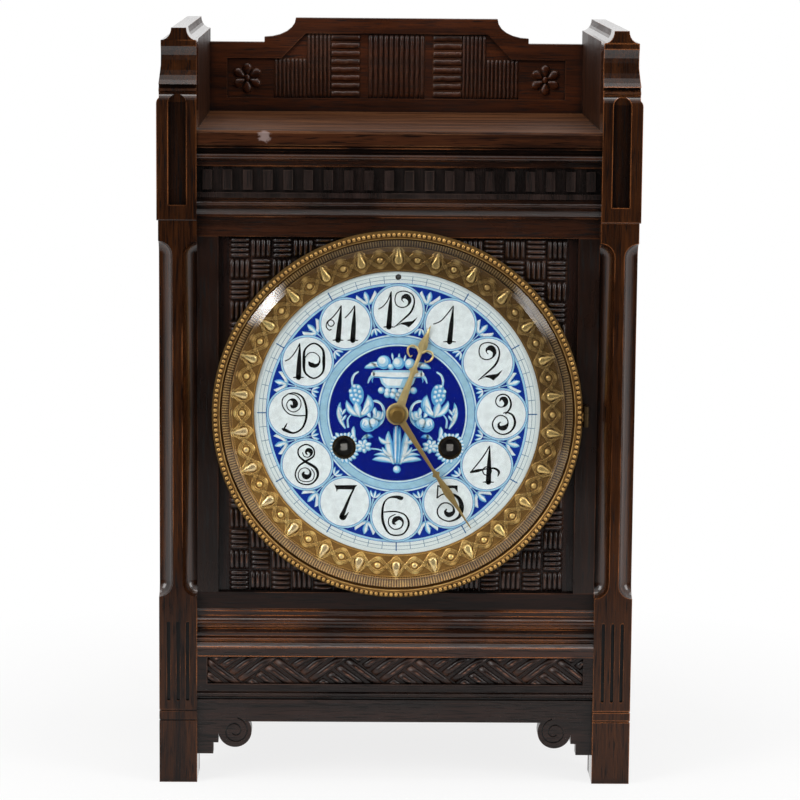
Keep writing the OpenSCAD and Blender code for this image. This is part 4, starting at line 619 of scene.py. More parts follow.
def glazed(name, rough, coat, speckled):
    """Glazed porcelain, with its body's colour from a recipe, under a smooth coat of glaze."""
    material = bpy.data.materials.new(name)
    tree = empty_tree(material)
    where = add(tree, "ShaderNodeTexCoord", out="Object")
    skin = add(tree, "ShaderNodeBsdfPrincipled", {
        "Base Color": speckled(tree, where), "Roughness": rough, "IOR": 1.5, "Coat Weight": coat,
        "Coat Roughness": 0.08})
    add(tree, "ShaderNodeOutputMaterial", {"Surface": skin}, out=None)
    return material


def greyer_clouds(tree, where):
    """A white body with faint greyer clouds in it, 17 mm across."""
    cloud = add(tree, "ShaderNodeTexNoise", {"Vector": where, "Scale": 60, "Detail": 2})
    cloud = add(tree, "ShaderNodeMapRange", {"Value": cloud, "From Min": 0.3, "From Max": 0.9})
    return add(tree, "ShaderNodeMix", {0: cloud, 6: linear("#e8eeee"), 7: linear("#e0e6e6")}, out=2,
               data_type="RGBA")


def washed_paint(tree, where):
    """The colour of the mesh's paint, uneven every 4 mm as the brush left it."""
    paint = add(tree, "ShaderNodeAttribute", out="Color", attribute_name="paint")
    wash = add(tree, "ShaderNodeTexNoise", {"Vector": where, "Scale": 260, "Detail": 4, "Roughness": 0.6})
    wash = add(tree, "ShaderNodeMapRange", {"Value": wash, "From Min": 0.3, "From Max": 0.7,
                                            "To Min": 0.84, "To Max": 1.06})
    return add(tree, "ShaderNodeVectorMath", {0: paint, "Scale": wash}, operation="SCALE")


def window_glass():
    """Clear polished glass that lets lamplight through, seen by its glints alone."""
    material = bpy.data.materials.new("polished_window_glass")
    tree = empty_tree(material)
    pane = add(tree, "ShaderNodeBsdfPrincipled", {
        "Base Color": linear("#fbfdfc"), "Roughness": 0.02, "IOR": 1.5, "Transmission Weight": 1.0})
    open_way = add(tree, "ShaderNodeBsdfTransparent", {"Color": linear("#f6f8f7")})
    shadow = add(tree, "ShaderNodeLightPath", out="Is Shadow Ray")
    both = add(tree, "ShaderNodeMixShader", {0: shadow, 1: pane, 2: open_way})
    add(tree, "ShaderNodeOutputMaterial", {"Surface": both}, out=None)
    return material


# plain porcelain: milky white, with a soft shine
porcelain = glazed("glazed_porcelain", 0.22, 0.5, greyer_clouds)
# paint fired under the glaze: deep and wet-looking, and matt beside the bare white
painted = glazed("painted_glaze", 0.2, 0.2, washed_paint)
glass = window_glass()
print("dial and window finishes: 3")

# %% [markdown]
# Every solid takes a finish by what it is made of and which way its board runs: pillars and
# stiles stand, rails and mouldings lie.

# %% Finishes on the solids
FINISHES = (
    (oak_pillar, "left_pillar right_pillar"),
    (oak_stile, "front_stiles"),
    (oak_side, "left_side right_side"),
    (oak_level, "cornice_moulding top_rail"),
    (oak_rail, "bottom_rail"),
    (oak_dark, "lattice_board apron"),
    (oak_dentil, "dentil_frieze"),
    (oak_gallery, "gallery_back"),
    (oak_shelf, "shelf"),
    (oak_base, "base_moulding"),
    (oak_carved, "weave_panel"),
    (oak_inside, "bottom_board back_frame back_door"),
    (brass_bezel, "bezel glass_retainer dial_ring embossed_ring"),
    (brass_collar, "hole_collars"),
    (gilt_hands, "minute_hand hour_hand"),
    (brass_nut, "hand_nut"),
    (brass_works, "dial_plate cannon_pinion hour_wheel minute_wheel front_plate back_plate plate_pillars "
                  "regulator_slide going_barrel strike_barrel second_wheel centre_wheel third_wheel "
                  "escape_wheel pin_wheel strike_wheel fly pendulum"),
    (brass_fitting, "frame_hinge_leaves door_hinge_leaves back_hinge_pins catch_knob catch_tongue"),
    (steel_works, "regulator_arbor going_click strike_click anchor hammer"),
    (steel_dull, "going_arbor strike_arbor"),
    (steel_blued, "gong"),
    (iron_stand, "gong_stand"),
    (porcelain, "dial"),
    (glass, "bezel_glass"),
)
for finish, names in FINISHES:
    for name in names.split():
        nodes[name].data.materials.clear()
        nodes[name].data.materials.append(finish)
dressed = {name for _, names in FINISHES for name in names.split()}
print("solids without a finish:", sorted(set(nodes) - dressed))

# %% [markdown]
# The solids carry each piece's plain main shape. Finer pieces are made from points, from a mesh
# under construction or from a copy of a solid, and several can be joined into one.

# %% New pieces


@contextmanager
def edited(mesh):
    """Opens a mesh for editing and writes it back."""
    work = bmesh.new()
    work.from_mesh(mesh)
    yield work
    work.to_mesh(mesh)
    work.free()


def new_piece(name, verts, faces, finish, smooth=True, crest=None):
    """A finished piece from points in metres, at the clock's origin, with its crests marked."""
    mesh = bpy.data.meshes.new(name)
    mesh.from_pydata([tuple(v) for v in verts], [], faces)
    for face in mesh.polygons:
        face.use_smooth = smooth
    mesh.materials.append(finish)
    if crest:
        mesh.attributes.new("crest", "FLOAT", "POINT").data.foreach_set("value", crest)
    return put(name, mesh)


def built(name, work, finish):
    """A finished piece from a mesh under construction."""
    mesh = bpy.data.meshes.new(name)
    work.to_mesh(mesh)
    work.free()
    mesh.materials.append(finish)
    return put(name, mesh)


def plain_copy(name, *finishes):
    """A solid's mesh, copied with its seams merged, and given other finishes."""
    mesh = nodes[name].data.copy()
    with edited(mesh) as work:
        work.transform(nodes[name].matrix_world)
        bmesh.ops.remove_doubles(work, verts=work.verts, dist=1e-6)
    if finishes:
        mesh.materials.clear()
    for finish in finishes:
        mesh.materials.append(finish)
    return mesh


def joined(name, things):
    """One mesh object from several."""
    whole = bmesh.new()
    finishes = []
    for thing in things:
        finish = thing.data.materials[0]
        if finish not in finishes:
            finishes.append(finish)
        before = len(whole.faces)
        whole.from_mesh(thing.data)
        whole.faces.ensure_lookup_table()
        for face in whole.faces[before:]:
            face.material_index = finishes.index(finish)
    mesh = bpy.data.meshes.new(name)
    whole.to_mesh(mesh)
    whole.free()
    for finish in finishes:
        mesh.materials.append(finish)
    for thing in things:
        bpy.data.objects.remove(thing)
    return put(name, mesh)


print("faces of the plain bezel:", len(nodes["bezel"].data.polygons))

# %% [markdown]
# Some pieces are the same small shape many times over: beads round the bezel, reeds in the
# carved weave, bosses on the pressed ring. One tile of each is modelled, and a node tree copies
# it round a ring or over a chequered field. The result is baked into a plain mesh.

# %% Repeated tiles


def copying_tree(name, numbers, lay_out):
    """A node tree that copies a tile, and each of its inputs' identifiers by name.

    Numbers are its inputs besides the tile and the finish. A recipe, lay_out, gives the points
    for the copies and the angle that each is turned by about the depth axis.
    """
    tree = bpy.data.node_groups.new(name, "GeometryNodeTree")
    tree.interface.new_socket("Geometry", in_out="OUTPUT", socket_type="NodeSocketGeometry")
    kinds = {"Tile": "NodeSocketObject", **numbers, "Finish": "NodeSocketMaterial"}
    known = {label: tree.interface.new_socket(label, in_out="INPUT", socket_type=kind).identifier
             for label, kind in kinds.items()}
    given = add(tree, "NodeGroupInput", out=None)
    tile = add(tree, "GeometryNodeObjectInfo", {"Object": given["Tile"]}, out="Geometry",
               transform_space="ORIGINAL")
    points, angle = lay_out(tree, given)
    turn = add(tree, "ShaderNodeCombineXYZ", {"Y": angle})
    copies = add(tree, "GeometryNodeInstanceOnPoints", {"Points": points, "Instance": tile, "Rotation": turn})
    solid = add(tree, "GeometryNodeRealizeInstances", {"Geometry": copies})
    done = add(tree, "GeometryNodeSetMaterial", {"Geometry": solid, "Material": given["Finish"]})
    add(tree, "NodeGroupOutput", {"Geometry": done}, out=None)
    return tree, known


def round_the_dial(tree, given):
    """Points at the axis, each turned by its share of the circle."""
    index = add(tree, "GeometryNodeInputIndex")
    points = add(tree, "GeometryNodePoints", {"Count": given["Copies"]})
    share = add(tree, "ShaderNodeMath", {0: index, 1: given["Copies"]}, operation="DIVIDE")
    return points, add(tree, "ShaderNodeMath", {0: share, 1: math.tau}, operation="MULTIPLY")


def over_a_field(tree, given):
    """Points over an upright field, every other one turned a quarter."""
    columns, pitch = given["Columns"], given["Pitch"]
    index = add(tree, "GeometryNodeInputIndex")
    column = add(tree, "ShaderNodeMath", {0: index, 1: columns}, operation="MODULO")
    row = add(tree, "ShaderNodeMath", {0: index, 1: columns}, operation="DIVIDE")
    row = add(tree, "ShaderNodeMath", {0: row}, operation="FLOOR")
    across = add(tree, "ShaderNodeMath", {0: column, 1: pitch}, operation="MULTIPLY")
    up = add(tree, "ShaderNodeMath", {0: row, 1: pitch}, operation="MULTIPLY")
    spot = add(tree, "ShaderNodeCombineXYZ", {"X": across, "Z": up})
    count = add(tree, "ShaderNodeMath", {0: columns, 1: given["Rows"]}, operation="MULTIPLY")
    points = add(tree, "GeometryNodePoints", {"Count": count})
    points = add(tree, "GeometryNodeSetPosition", {"Geometry": points, "Position": spot})
    steps = add(tree, "ShaderNodeMath", {0: row, 1: column}, operation="ADD")
    odd = add(tree, "ShaderNodeMath", {0: steps, 1: 2.0}, operation="MODULO")
    return points, add(tree, "ShaderNodeMath", {0: odd, 1: math.pi / 2}, operation="MULTIPLY")


def baked(name, tile, tree_and_inputs, values, shift):
    """Runs a node tree on a tile and keeps the result as a mesh, moved by shift."""
    tree, known = tree_and_inputs
    carrier = new_piece(name + "_carrier", [], [], values["Finish"])
    modifier = carrier.modifiers.new("copies", "NODES")
    modifier.node_group = tree
    for label, value in dict(values, Tile=tile).items():
        modifier[known[label]] = value
    carrier.update_tag()
    bpy.context.view_layer.update()
    mesh = bpy.data.meshes.new_from_object(carrier.evaluated_get(bpy.context.evaluated_depsgraph_get()))
    bpy.data.objects.remove(carrier)
    bpy.data.objects.remove(tile)
    mesh.transform(Matrix.Translation(shift))
    for face in mesh.polygons:
        face.use_smooth = True
    return put(name, mesh)


in_a_ring = copying_tree("copies_in_a_ring", {"Copies": "NodeSocketInt"}, round_the_dial)
chequered = copying_tree("chequered_field", {
    "Columns": "NodeSocketInt", "Rows": "NodeSocketInt", "Pitch": "NodeSocketFloat"}, over_a_field)
print("node trees:", in_a_ring[0].name, chequered[0].name)

# %% [markdown]
# The bezel's nose carries a row of beads. The solid has a plain half-round there, so its copy
# is drawn in until it lies inside the beads, and the beads stand where its crest was. Its hinge
# and the ground between the beads take a darker brass: painted shade.

# %% Beaded bezel
BEAD_RING, BEAD_DEPTH, BEAD_R, BEADS = 97.4, -1.4, 1.2, 228
HINGE_FROM = 99.4


def darker(mesh, chosen):
    """Gives the chosen faces the mesh's second finish, a darker brass as painted shade."""
    for face in mesh.polygons:
        if chosen(face, math.hypot(*from_dial(face.center))):
            face.material_index = 1


def between_beads(face, radius):
    """Whether a face is the ground between two beads."""
    return face.index < plain_faces and 96.5 < radius < 98.4 and depth_of(face.center.y) < -0.8


bezel_mesh = plain_copy("bezel", brass_bezel)
for vertex in bezel_mesh.vertices:
    x, z = from_dial(vertex.co)
    depth, radius = depth_of(vertex.co.y), math.hypot(x, z)
    if 95.9 < radius < 98.95 and depth < -0.8:
        kept = 0.5
        drawn_in = (BEAD_RING + (radius - BEAD_RING) * kept) / radius
        vertex.co = place(DIAL_X + x * drawn_in, BEAD_DEPTH + (depth - BEAD_DEPTH) * kept,
                          DIAL_Z + z * drawn_in)
bead = bmesh.new()
bmesh.ops.create_icosphere(bead, subdivisions=2, radius=BEAD_R * MM)
bmesh.ops.translate(bead, verts=bead.verts, vec=(0, 0, BEAD_RING * MM))
beads = baked("beads", built("bead", bead, brass_bezel), in_a_ring,
              {"Copies": BEADS, "Finish": brass_bezel}, place(DIAL_X, BEAD_DEPTH, DIAL_Z))
plain_faces = len(bezel_mesh.polygons)
beaded_bezel = joined("beaded_bezel", [put("bezel_body", bezel_mesh), beads])
beaded_bezel.data.materials.append(brass_collar)
# painted shade: the hinge and the ground between the beads take the darker brass
darker(beaded_bezel.data, lambda face, radius: radius > HINGE_FROM or between_beads(face, radius))
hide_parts("bezel")
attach(beaded_bezel, "bezel_door")
print("beads:", BEADS, "faces:", len(beaded_bezel.data.polygons))

# %% [markdown]
# The window shows a copy of its solid whose bevel is shaded as one smooth round, so that the
# lamps glint along it. The engraved band behind the glass is a copy too, so that its hinge can
# take a darker brass as painted shade.

# %% Window and engraved band
SMOOTH_BELOW = math.radians(8)
window_mesh = plain_copy("bezel_glass")
with edited(window_mesh) as work:
    for face in work.faces:
        face.smooth = True
    for line in work.edges:
        line.smooth = len(line.link_faces) == 2 and line.calc_face_angle() < SMOOTH_BELOW
window = put("bevelled_window", window_mesh)
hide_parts("bezel_glass")
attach(window, "bezel_door")

band = put("engraved_band", plain_copy("dial_ring", brass_band, brass_collar))
# painted shade: the band's hinge takes the darker brass
darker(band.data, lambda face, radius: radius > HINGE_FROM)
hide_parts("dial_ring")
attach(band, "case")
print("band faces:", len(band.data.polygons))

# %% [markdown]
# The pressed brass ring repeats one pattern 26 times: a teardrop boss, a smaller round one
# between, and a beaded strap that winds over and under them. The tile is a fine grid whose
# height is a sum of soft shapes, so the metal looks pushed up from behind.

# %% Relief of the pressed ring
SECTORS, RING_IN, RING_OUT, MID_RING = 26, 76.9, 89.4, 84.8
HALF_SECTOR = 10.25
BELT = 83.4


def dome(distance, radius, height):
    """A round swelling with a soft foot."""
    near = max(0.0, 1 - (distance / radius) ** 2)
    return height * near ** 0.6


def ridge(distance, width, height):
    """A soft ridge across a line."""
    return height * math.exp(-(distance / width) ** 2 * 2.2)


def teardrop(s, t, widest=83.0, half=2.35):
    """Height of the boss that is round towards the centre and pointed outward."""
    if t < widest:
        width = half * math.sqrt(max(0.0, 1 - ((t - widest) / 2.4) ** 2))
    else:
        width = half * max(0.0, 1 - (t - widest) / 6.3) ** 0.8
    if width <= 0.05 or abs(s) >= width:
        return 0.0
    return 0.5 + 1.1 * (1 - (s / width) ** 2) ** 0.5 * min(1.0, width / 1.8)


def pressed_height(s, t):
    """Height of the pattern at s along the ring and t from the dial's centre."""
    lifts = [teardrop(s, t)]
    wave = 3.5 * math.cos(math.pi * (s / HALF_SECTOR))
    for strap in (BELT + wave, BELT - wave):
        off = abs(t - strap)
        beading = 0.5 + 0.5 * math.cos(s * math.tau / 1.3)
        lifts += [ridge(off - 0.95, 0.4, 0.8), ridge(off, 1.3, 0.5), ridge(off, 0.42, 0.45 + 0.35 * beading)]
    # an arch over the teardrop, and a round boss in a ring halfway between two
    lifts.append(ridge(math.hypot(s, (t - 83.6) * 0.62) - 3.3, 0.4, 0.7))
    between = math.hypot(abs(s) - HALF_SECTOR, t - BELT)
    lifts += [dome(between, 1.75, 1.0), ridge(between - 2.5, 0.3, 0.5)]
    # leaves that fill the corners
    lifts += [dome(math.hypot((abs(s) - HALF_SECTOR) * 0.6, t - side), 1.3, 0.7) for side in (87.2, 79.6)]
    lifts.append(dome(math.hypot(s * 0.55, t - 79.3), 1.25, 0.7))
    # small dimples of the ground
    lifts.append(0.16 + 0.1 * math.cos(s * math.tau / 0.93) * math.cos(t * math.tau / 0.9))
    # cord borders
    twist = 0.2 * (0.5 + 0.5 * math.cos(s * math.tau / 0.97))
    lifts += [ridge(t - 77.7, 0.4, 0.35 + twist), ridge(t - 88.9, 0.35, 0.4 + twist)]
    return max(lifts)


print("a teardrop rises", round(pressed_height(0, 83), 2), "mm")

# %% [markdown]
# One sector is a grid of points 0.3 mm apart, each at the pattern's height and a little uneven,
# as pressed metal is. It keeps its heights in an attribute, so that the finish knows which spots
# are rubbed.

# %% Pressed ring


def pressed_tile(steps_s=66, steps_t=44):
    """One sector, at twelve o'clock about the dial's centre."""
    rough_hand = random.Random(7)
    verts, faces, lifts = [], [], []
    half = math.pi / SECTORS
    for j in range(-1, steps_t + 2):
        share = min(max(j / steps_t, 0), 1)
        t = RING_IN + (RING_OUT - RING_IN) * share
        inside = 0 <= j <= steps_t
        for i in range(steps_s + 1):
            angle = half * (2 * i / steps_s - 1)
            lift = pressed_height(angle * MID_RING, t) if inside else -0.9
            if 0 < i < steps_s and inside:
                lift += rough_hand.uniform(-0.025, 0.025)
            depth = 8.25 - 1.3 * share - lift
            verts.append(Vector((t * math.sin(angle), depth, t * math.cos(angle))) * MM)
            lifts.append(max(lift, 0.0))
    row = steps_s + 1
    for j in range(steps_t + 2):
        for i in range(steps_s):
            a = j * row + i
            faces.append((a, a + 1, a + row + 1, a + row))
    tile = new_piece("pressed_tile", verts, faces, brass_pressed)
    tile.data.attributes.new("lift", "FLOAT", "POINT").data.foreach_set("value", lifts)
    return tile


pressed_ring = baked("pressed_ring", pressed_tile(), in_a_ring, {"Copies": SECTORS, "Finish": brass_pressed},
                     place(DIAL_X, 0, DIAL_Z))
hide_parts("embossed_ring")
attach(pressed_ring, "case")
print("pressed ring faces:", len(pressed_ring.data.polygons))

# %% [markdown]
# The carved panel is a basket weave: blocks of four reeds, level and upright by turns. Each reed
# swells at its middle and dips at its ends, where it seems to pass under its neighbour.

# %% Reeds of the weave
WEAVE, REEDS, CREST = 11.3, 4, 2.0
COLUMNS, ROWS = 16, 17
BEHIND_BEZEL, OPENING = 97.5, 90
low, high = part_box("weave_panel")
PANEL_LEFT, PANEL_RIGHT, PANEL_LOW, PANEL_HIGH = low.x / MM, high.x / MM, low.z / MM, high.z / MM
PANEL_FACE, PANEL_BACK = depth_of(low.y) + CREST, depth_of(high.y)


def reed_tile(around=4, lengthways=5):
    """Four reeds that run level, centred on the origin."""
    verts, faces, crest = [], [], []
    size = WEAVE - 0.5
    row = around + 1
    for k in range(REEDS):
        middle = (k - (REEDS - 1) / 2) * size / REEDS
        first = len(verts)
        for i in range(lengthways + 1):
            share = i / lengthways - 0.5
            swell = 0.55
            if 0 < i < lengthways:
                swell = 0.85 + (CREST - 0.85) * math.cos(math.pi * share) ** 0.7
            for j in range(row):
                angle = math.pi * j / around
                across, out = 1.28 * math.cos(angle), swell * math.sin(angle)
                verts.append(Vector((size * share, -out, middle - across)) * MM)
                crest.append(math.sin(angle) * swell / CREST)
        for i in range(lengthways):
            for j in range(around):
                a = first + i * row + j
                faces.append((a, a + row, a + row + 1, a + 1))
        for i in (0, lengthways):
            loop = [first + i * row + j for j in range(row)]
            faces.append(loop if i == 0 else loop[::-1])
    return new_piece("reed_tile", verts, faces, oak_carved, crest=crest)


print("reeds in a block:", REEDS, "blocks:", COLUMNS * ROWS)

# %% [markdown]
# Under the reeds lies a plain board with a round opening for the dial: a ring of faces from the
# opening out to the panel's sides, with points at its corners. The blocks are copied over the
# board, and what lies behind the bezel is cut away.

# %% Woven panel


def reach_to(side, away):
    """How far along a direction a board's side lies, from the dial's centre."""
    return side / away if abs(away) > 1e-9 else 1e9


def weave_board(steps=96):
    """The panel's ground, a board with a round opening at the dial's centre."""
    sides_x, sides_z = (PANEL_LEFT - DIAL_X, PANEL_RIGHT - DIAL_X), (PANEL_LOW - DIAL_Z, PANEL_HIGH - DIAL_Z)
    angles = {round(math.tau * i / steps, 6) for i in range(steps)}
    angles |= {round(math.atan2(z, x) % math.tau, 6) for x in sides_x for z in sides_z}
    verts, faces = [], []
    for angle in sorted(angles):
        c, s = math.cos(angle), math.sin(angle)
        reach = min(reach_to(sides_x[c > 0], c), reach_to(sides_z[s > 0], s))
        for r, depth in ((OPENING, PANEL_FACE), (reach, PANEL_FACE),
                         (reach, PANEL_BACK), (OPENING, PANEL_BACK)):
            verts.append(place(DIAL_X + c * r, depth, DIAL_Z + s * r))
    count = len(angles)
    for i in range(count):
        after = (i + 1) % count
        for k in range(4):
            beside = (k + 1) % 4
            faces.append((4 * i + k, 4 * i + beside, 4 * after + beside, 4 * after + k))
    return new_piece("weave_board", verts, faces, oak_carved, smooth=False, crest=[0.0] * len(verts))


field = baked("weave_field", reed_tile(), chequered,
              {"Columns": COLUMNS, "Rows": ROWS, "Pitch": WEAVE * MM, "Finish": oak_carved},
              place((PANEL_LEFT + PANEL_RIGHT) / 2 - (COLUMNS - 1) / 2 * WEAVE, PANEL_FACE,
                    (PANEL_LOW + PANEL_HIGH) / 2 - (ROWS - 1) / 2 * WEAVE))
with edited(field.data) as work:
    hidden = [f for f in work.faces if math.hypot(*from_dial(f.calc_center_median())) < BEHIND_BEZEL]
    bmesh.ops.delete(work, geom=hidden, context="FACES")
carved_weave = joined("carved_weave", [weave_board(), field])
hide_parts("weave_panel")
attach(carved_weave, "case")
print("weave faces:", len(carved_weave.data.polygons))

# %% [markdown]
# The lattice under the base moulding and the reeds of the gallery are rods cut in relief. On the
# solids they are flat. Here the flat ones are pressed back into their ground on a copy, and
# rounded rods are laid in their place, a little uneven, as a gouge leaves them.

# %% Carved rods


def along(points, t):
    """The spot at share t of a line of points."""
    step = min(int(t * (len(points) - 1)), len(points) - 2)
    return Vector(points[step]).lerp(Vector(points[step + 1]), t * (len(points) - 1) - step)


def carved_rods(name, outlines, depth, rise, finish, steps=3, around=6, wave=0.0):
    """Half-round rods between the left and the right line of points of each outline."""
    hand = random.Random(1)
    verts, faces, crest = [], [], []
    row = around + 1
    for one, other in outlines:
        first = len(verts)
        for i in range(steps + 1):
            t = i / steps
            left, right = along(one, t), along(other, t)
            drift = (right - left) * wave * hand.uniform(-1, 1)
            high = rise * (1 - 0.35 * abs(2 * t - 1) ** 6) * (1 - wave * hand.random())
            for j in range(row):
                angle = math.pi * j / around
                spot = left.lerp(right, 0.5 - 0.5 * math.cos(angle)) + drift * math.sin(angle)
                verts.append(place(spot.x, depth - high * math.sin(angle), spot.y))
                crest.append(math.sin(angle) ** 2 * high / rise)
        for i in range(steps):
            k = first + i * row
            faces += [(k + j, k + j + 1, k + row + j + 1, k + row + j) for j in range(around)]
            faces.append((k + around, k, k + row, k + row + around))
        faces.append([first + j for j in range(row)][::-1])
        faces.append([first + steps * row + j for j in range(row)])
    thing = new_piece(name, verts, faces, finish, crest=crest)
    with edited(thing.data) as work:
        bmesh.ops.recalc_face_normals(work, faces=work.faces)
    return thing


def pressed_back(node, fronts, ground, finish):
    """A copy of a solid whose faces at the given depths sink to the ground."""
    mesh = plain_copy(node, finish)
    for vertex in mesh.vertices:
        if any(abs(depth_of(vertex.co.y) - front) < 0.07 for front in fronts):
            vertex.co.y = FRONT + ground * MM
    mesh.attributes.new("crest", "FLOAT", "POINT")
    return put(node + "_ground", mesh)


def cut_at(thing, half):
    """Trims a piece at both sides and closes the cuts."""
    with edited(thing.data) as work:
        for side in (-1, 1):
            cut = bmesh.ops.bisect_plane(work, geom=work.verts[:] + work.edges[:] + work.faces[:],
                                         plane_co=(side * half * MM, 0, 0), plane_no=(side, 0, 0),
                                         clear_outer=True)
            rim = [e for e in cut["geom_cut"] if isinstance(e, bmesh.types.BMEdge)]
            bmesh.ops.holes_fill(work, edges=rim)


print("a rod between two lines runs from", along([(0, 0), (1, 0)], 0), "to", along([(0, 0), (1, 0)], 1))

# %% [markdown]
# The lattice board repeats one triangle, upright and upside down by turns, each filled with
# slanting rods. They are laid past both ends and trimmed, so the pattern runs out at the
# pillars as a carver would stop it.

# %% Lattice board
LATTICE_PITCH, LATTICE_GROUND, RODS = 38.4, 3.4, 4
low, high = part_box("lattice_board")
LATTICE_LOW, LATTICE_HIGH = low.z / MM + 7.5, high.z / MM - 0.4
half_pitch = LATTICE_PITCH / 2
outlines = []
count = math.ceil(2 * (high.x / MM) / LATTICE_PITCH) + 1
for k in range(count + 1):
    x = -LATTICE_PITCH * (count / 2 - k) - LATTICE_PITCH * 0.12
    for corners in (((x, LATTICE_HIGH), (x + half_pitch, LATTICE_LOW), (x - half_pitch, LATTICE_LOW)),
                    ((x + LATTICE_PITCH, LATTICE_HIGH), (x + half_pitch, LATTICE_LOW), (x, LATTICE_HIGH))):
        a, b, c = (Vector(corner) for corner in corners)
        for rod in range(RODS):
            t0, t1 = rod * 0.25 + 0.035, rod * 0.25 + 0.215
            outlines.append(((a.lerp(c, t0), b.lerp(c, t0)), (a.lerp(c, t1), b.lerp(c, t1))))
rods = carved_rods("lattice_rods", outlines, LATTICE_GROUND + 0.02, 1.75, oak_lattice, wave=0.05)
cut_at(rods, high.x / MM - 5.5)
board = pressed_back("lattice_board", (LATTICE_GROUND - 1.6,), LATTICE_GROUND - 0.02, oak_lattice)
carved_lattice = joined("carved_lattice", [board, rods])
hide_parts("lattice_board")
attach(carved_lattice, "case")
print("lattice rods:", len(outlines))

# %% [markdown]
# The gallery's back has the same kind of carving: reeds that stand in the middle and outside,
# reeds that lie between them, and a small flower at each end, petal by petal.

# %% Gallery reeds and rosettes
REED = 4.7
CREST_HALF, SHOULDER = 57.4, 40
low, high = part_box("gallery_back")
GALLERY_FACE = depth_of(low.y) + 0.2
CARVE_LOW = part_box("shelf")[1].z / MM + 7.7
CREST_TOP = high.z / MM - 9
SHOULDER_TOP = high.z / MM - 14.2 - 9.2
# a flower's petal and its middle, as (distance out or up, width)
PETAL = ((1.8, 0.6), (3.6, 1.8), (5.4, 2.8), (7.2, 2.6), (8.6, 1.0))
BUTTON = ((-2, 0.2), (-1.5, 1.3), (0, 2.0), (1.5, 1.3), (2, 0.2))


def standing(left, right, top):
    """The outline of an upright reed."""
    return ((left, CARVE_LOW), (left, top)), ((right, CARVE_LOW), (right, top))


def lying(bottom, top, left, right):
    """The outline of a level reed."""
    return ((left, bottom), (right, bottom)), ((left, top), (right, top))


def shared(start, end, pitch):
    """Reeds' sides, at about the given pitch, with a fifth of it left between them."""
    n = round((end - start) / pitch)
    w = (end - start) / n
    return [(start + (i + 0.1) * w, start + (i + 0.9) * w) for i in range(n)]


def spindle(centre, way, across, widths):
    """An outline along a way from a centre, through (distance, width) pairs."""
    return tuple([centre + way * reach + across * half * wide for reach, wide in widths] for half in (-1, 1))


outlines = [standing(l, r, CREST_TOP) for l, r in shared(-3.5 * REED, 3.5 * REED, REED * 0.62)]
for start, end in ((-8, -4.5), (4.5, 8)):
    outlines += [lying(b, t, start * REED, end * REED) for b, t in shared(CARVE_LOW, CREST_TOP, REED)]
for side in (-1, 1):
    for i in range(7):
        x = side * (8 + i + 0.5) * REED
        top = CREST_TOP if abs(x) + REED / 2 < CREST_HALF - 5 else SHOULDER_TOP
        for half in (-0.24, 0.24):
            outlines.append(standing(x + (half - 0.19) * REED, x + (half + 0.19) * REED, top))
reeds = carved_rods("gallery_reeds", outlines, GALLERY_FACE + 1.6, 1.15, oak_reeds, steps=14, around=5,
                    wave=0.12)
petals = []
for side in (-1, 1):
    centre = Vector((side * (CREST_HALF + SHOULDER - 11.5), (CARVE_LOW + SHOULDER_TOP) / 2))
    for k in range(6):
        a = math.radians(60 * k + 30)
        outward, sideways = Vector((math.cos(a), math.sin(a))), Vector((-math.sin(a), math.cos(a)))
        petals.append(spindle(centre, outward, sideways, PETAL))
    petals.append(spindle(centre, Vector((0, 1)), Vector((1, 0)), BUTTON))
flowers = carved_rods("gallery_flowers", petals, GALLERY_FACE + 1.6, 1.5, oak_gallery, steps=8)
back = pressed_back("gallery_back", [GALLERY_FACE + step for step in (0.6, 0.2, -0.2)], GALLERY_FACE + 1.58,
                    oak_gallery)
carved_gallery = joined("carved_gallery", [back, reeds, flowers])
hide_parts("gallery_back")
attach(carved_gallery, "case")
print("gallery reeds:", len(outlines), "petals:", len(petals))

# %% [markdown]
# The dial is painted the way a porcelain painter works: a cobalt ground, then paler and paler
# shapes over it. A brush stroke is a smooth curve through a few points, with a width at each.

# %% Paints and curves
WHITE, PALE, SKY, MID = "#eef3f5", "#a9d5ee", "#5fa8dc", "#2f6fc4"
COBALT, INK = "#03167c", "#161616"
LIGHTS, SHADES = (SKY, PALE, WHITE), (MID, SKY, PALE)


def flowing(points, closed=False, steps=6):
    """A smooth curve through (x, z, width) points; a missing width repeats the last one."""
    full, width = [], 1.0
    for point in points:
        width = point[2] if len(point) > 2 else width
        full.append(Vector((point[0], point[1], width)))
    count = len(full)
    curve = []
    for i in range(count if closed else count - 1):
        b, c = full[i], full[(i + 1) % count]
        a = full[i - 1] if closed or i else b * 2 - c
        d = full[(i + 2) % count] if closed or i + 2 < count else c * 2 - b
        for k in range(steps):
            t = k / steps
            curve.append(0.5 * (2 * b + (c - a) * t + (2 * a - 5 * b + 4 * c - d) * t * t
                                + (3 * b - a - 3 * c + d) * t * t * t))
    return curve if closed else curve + [full[-1]]


def circle(x, z, r, sides):
    """Points round a circle."""
    turns = [math.tau * i / sides for i in range(sides)]
    return [(x + r * math.cos(a), z + r * math.sin(a)) for a in turns]


print("painter's tints:", WHITE, PALE, SKY, MID, COBALT)

# %% [markdown]
# A painter keeps the sheets, each a flat shape in one tint, and knows a few hand movements: a
# ring, a spot, a filled shape, a stroke, and a petal or a berry in three tones from dark to
# light, which is what makes it look round.

# %% A painter


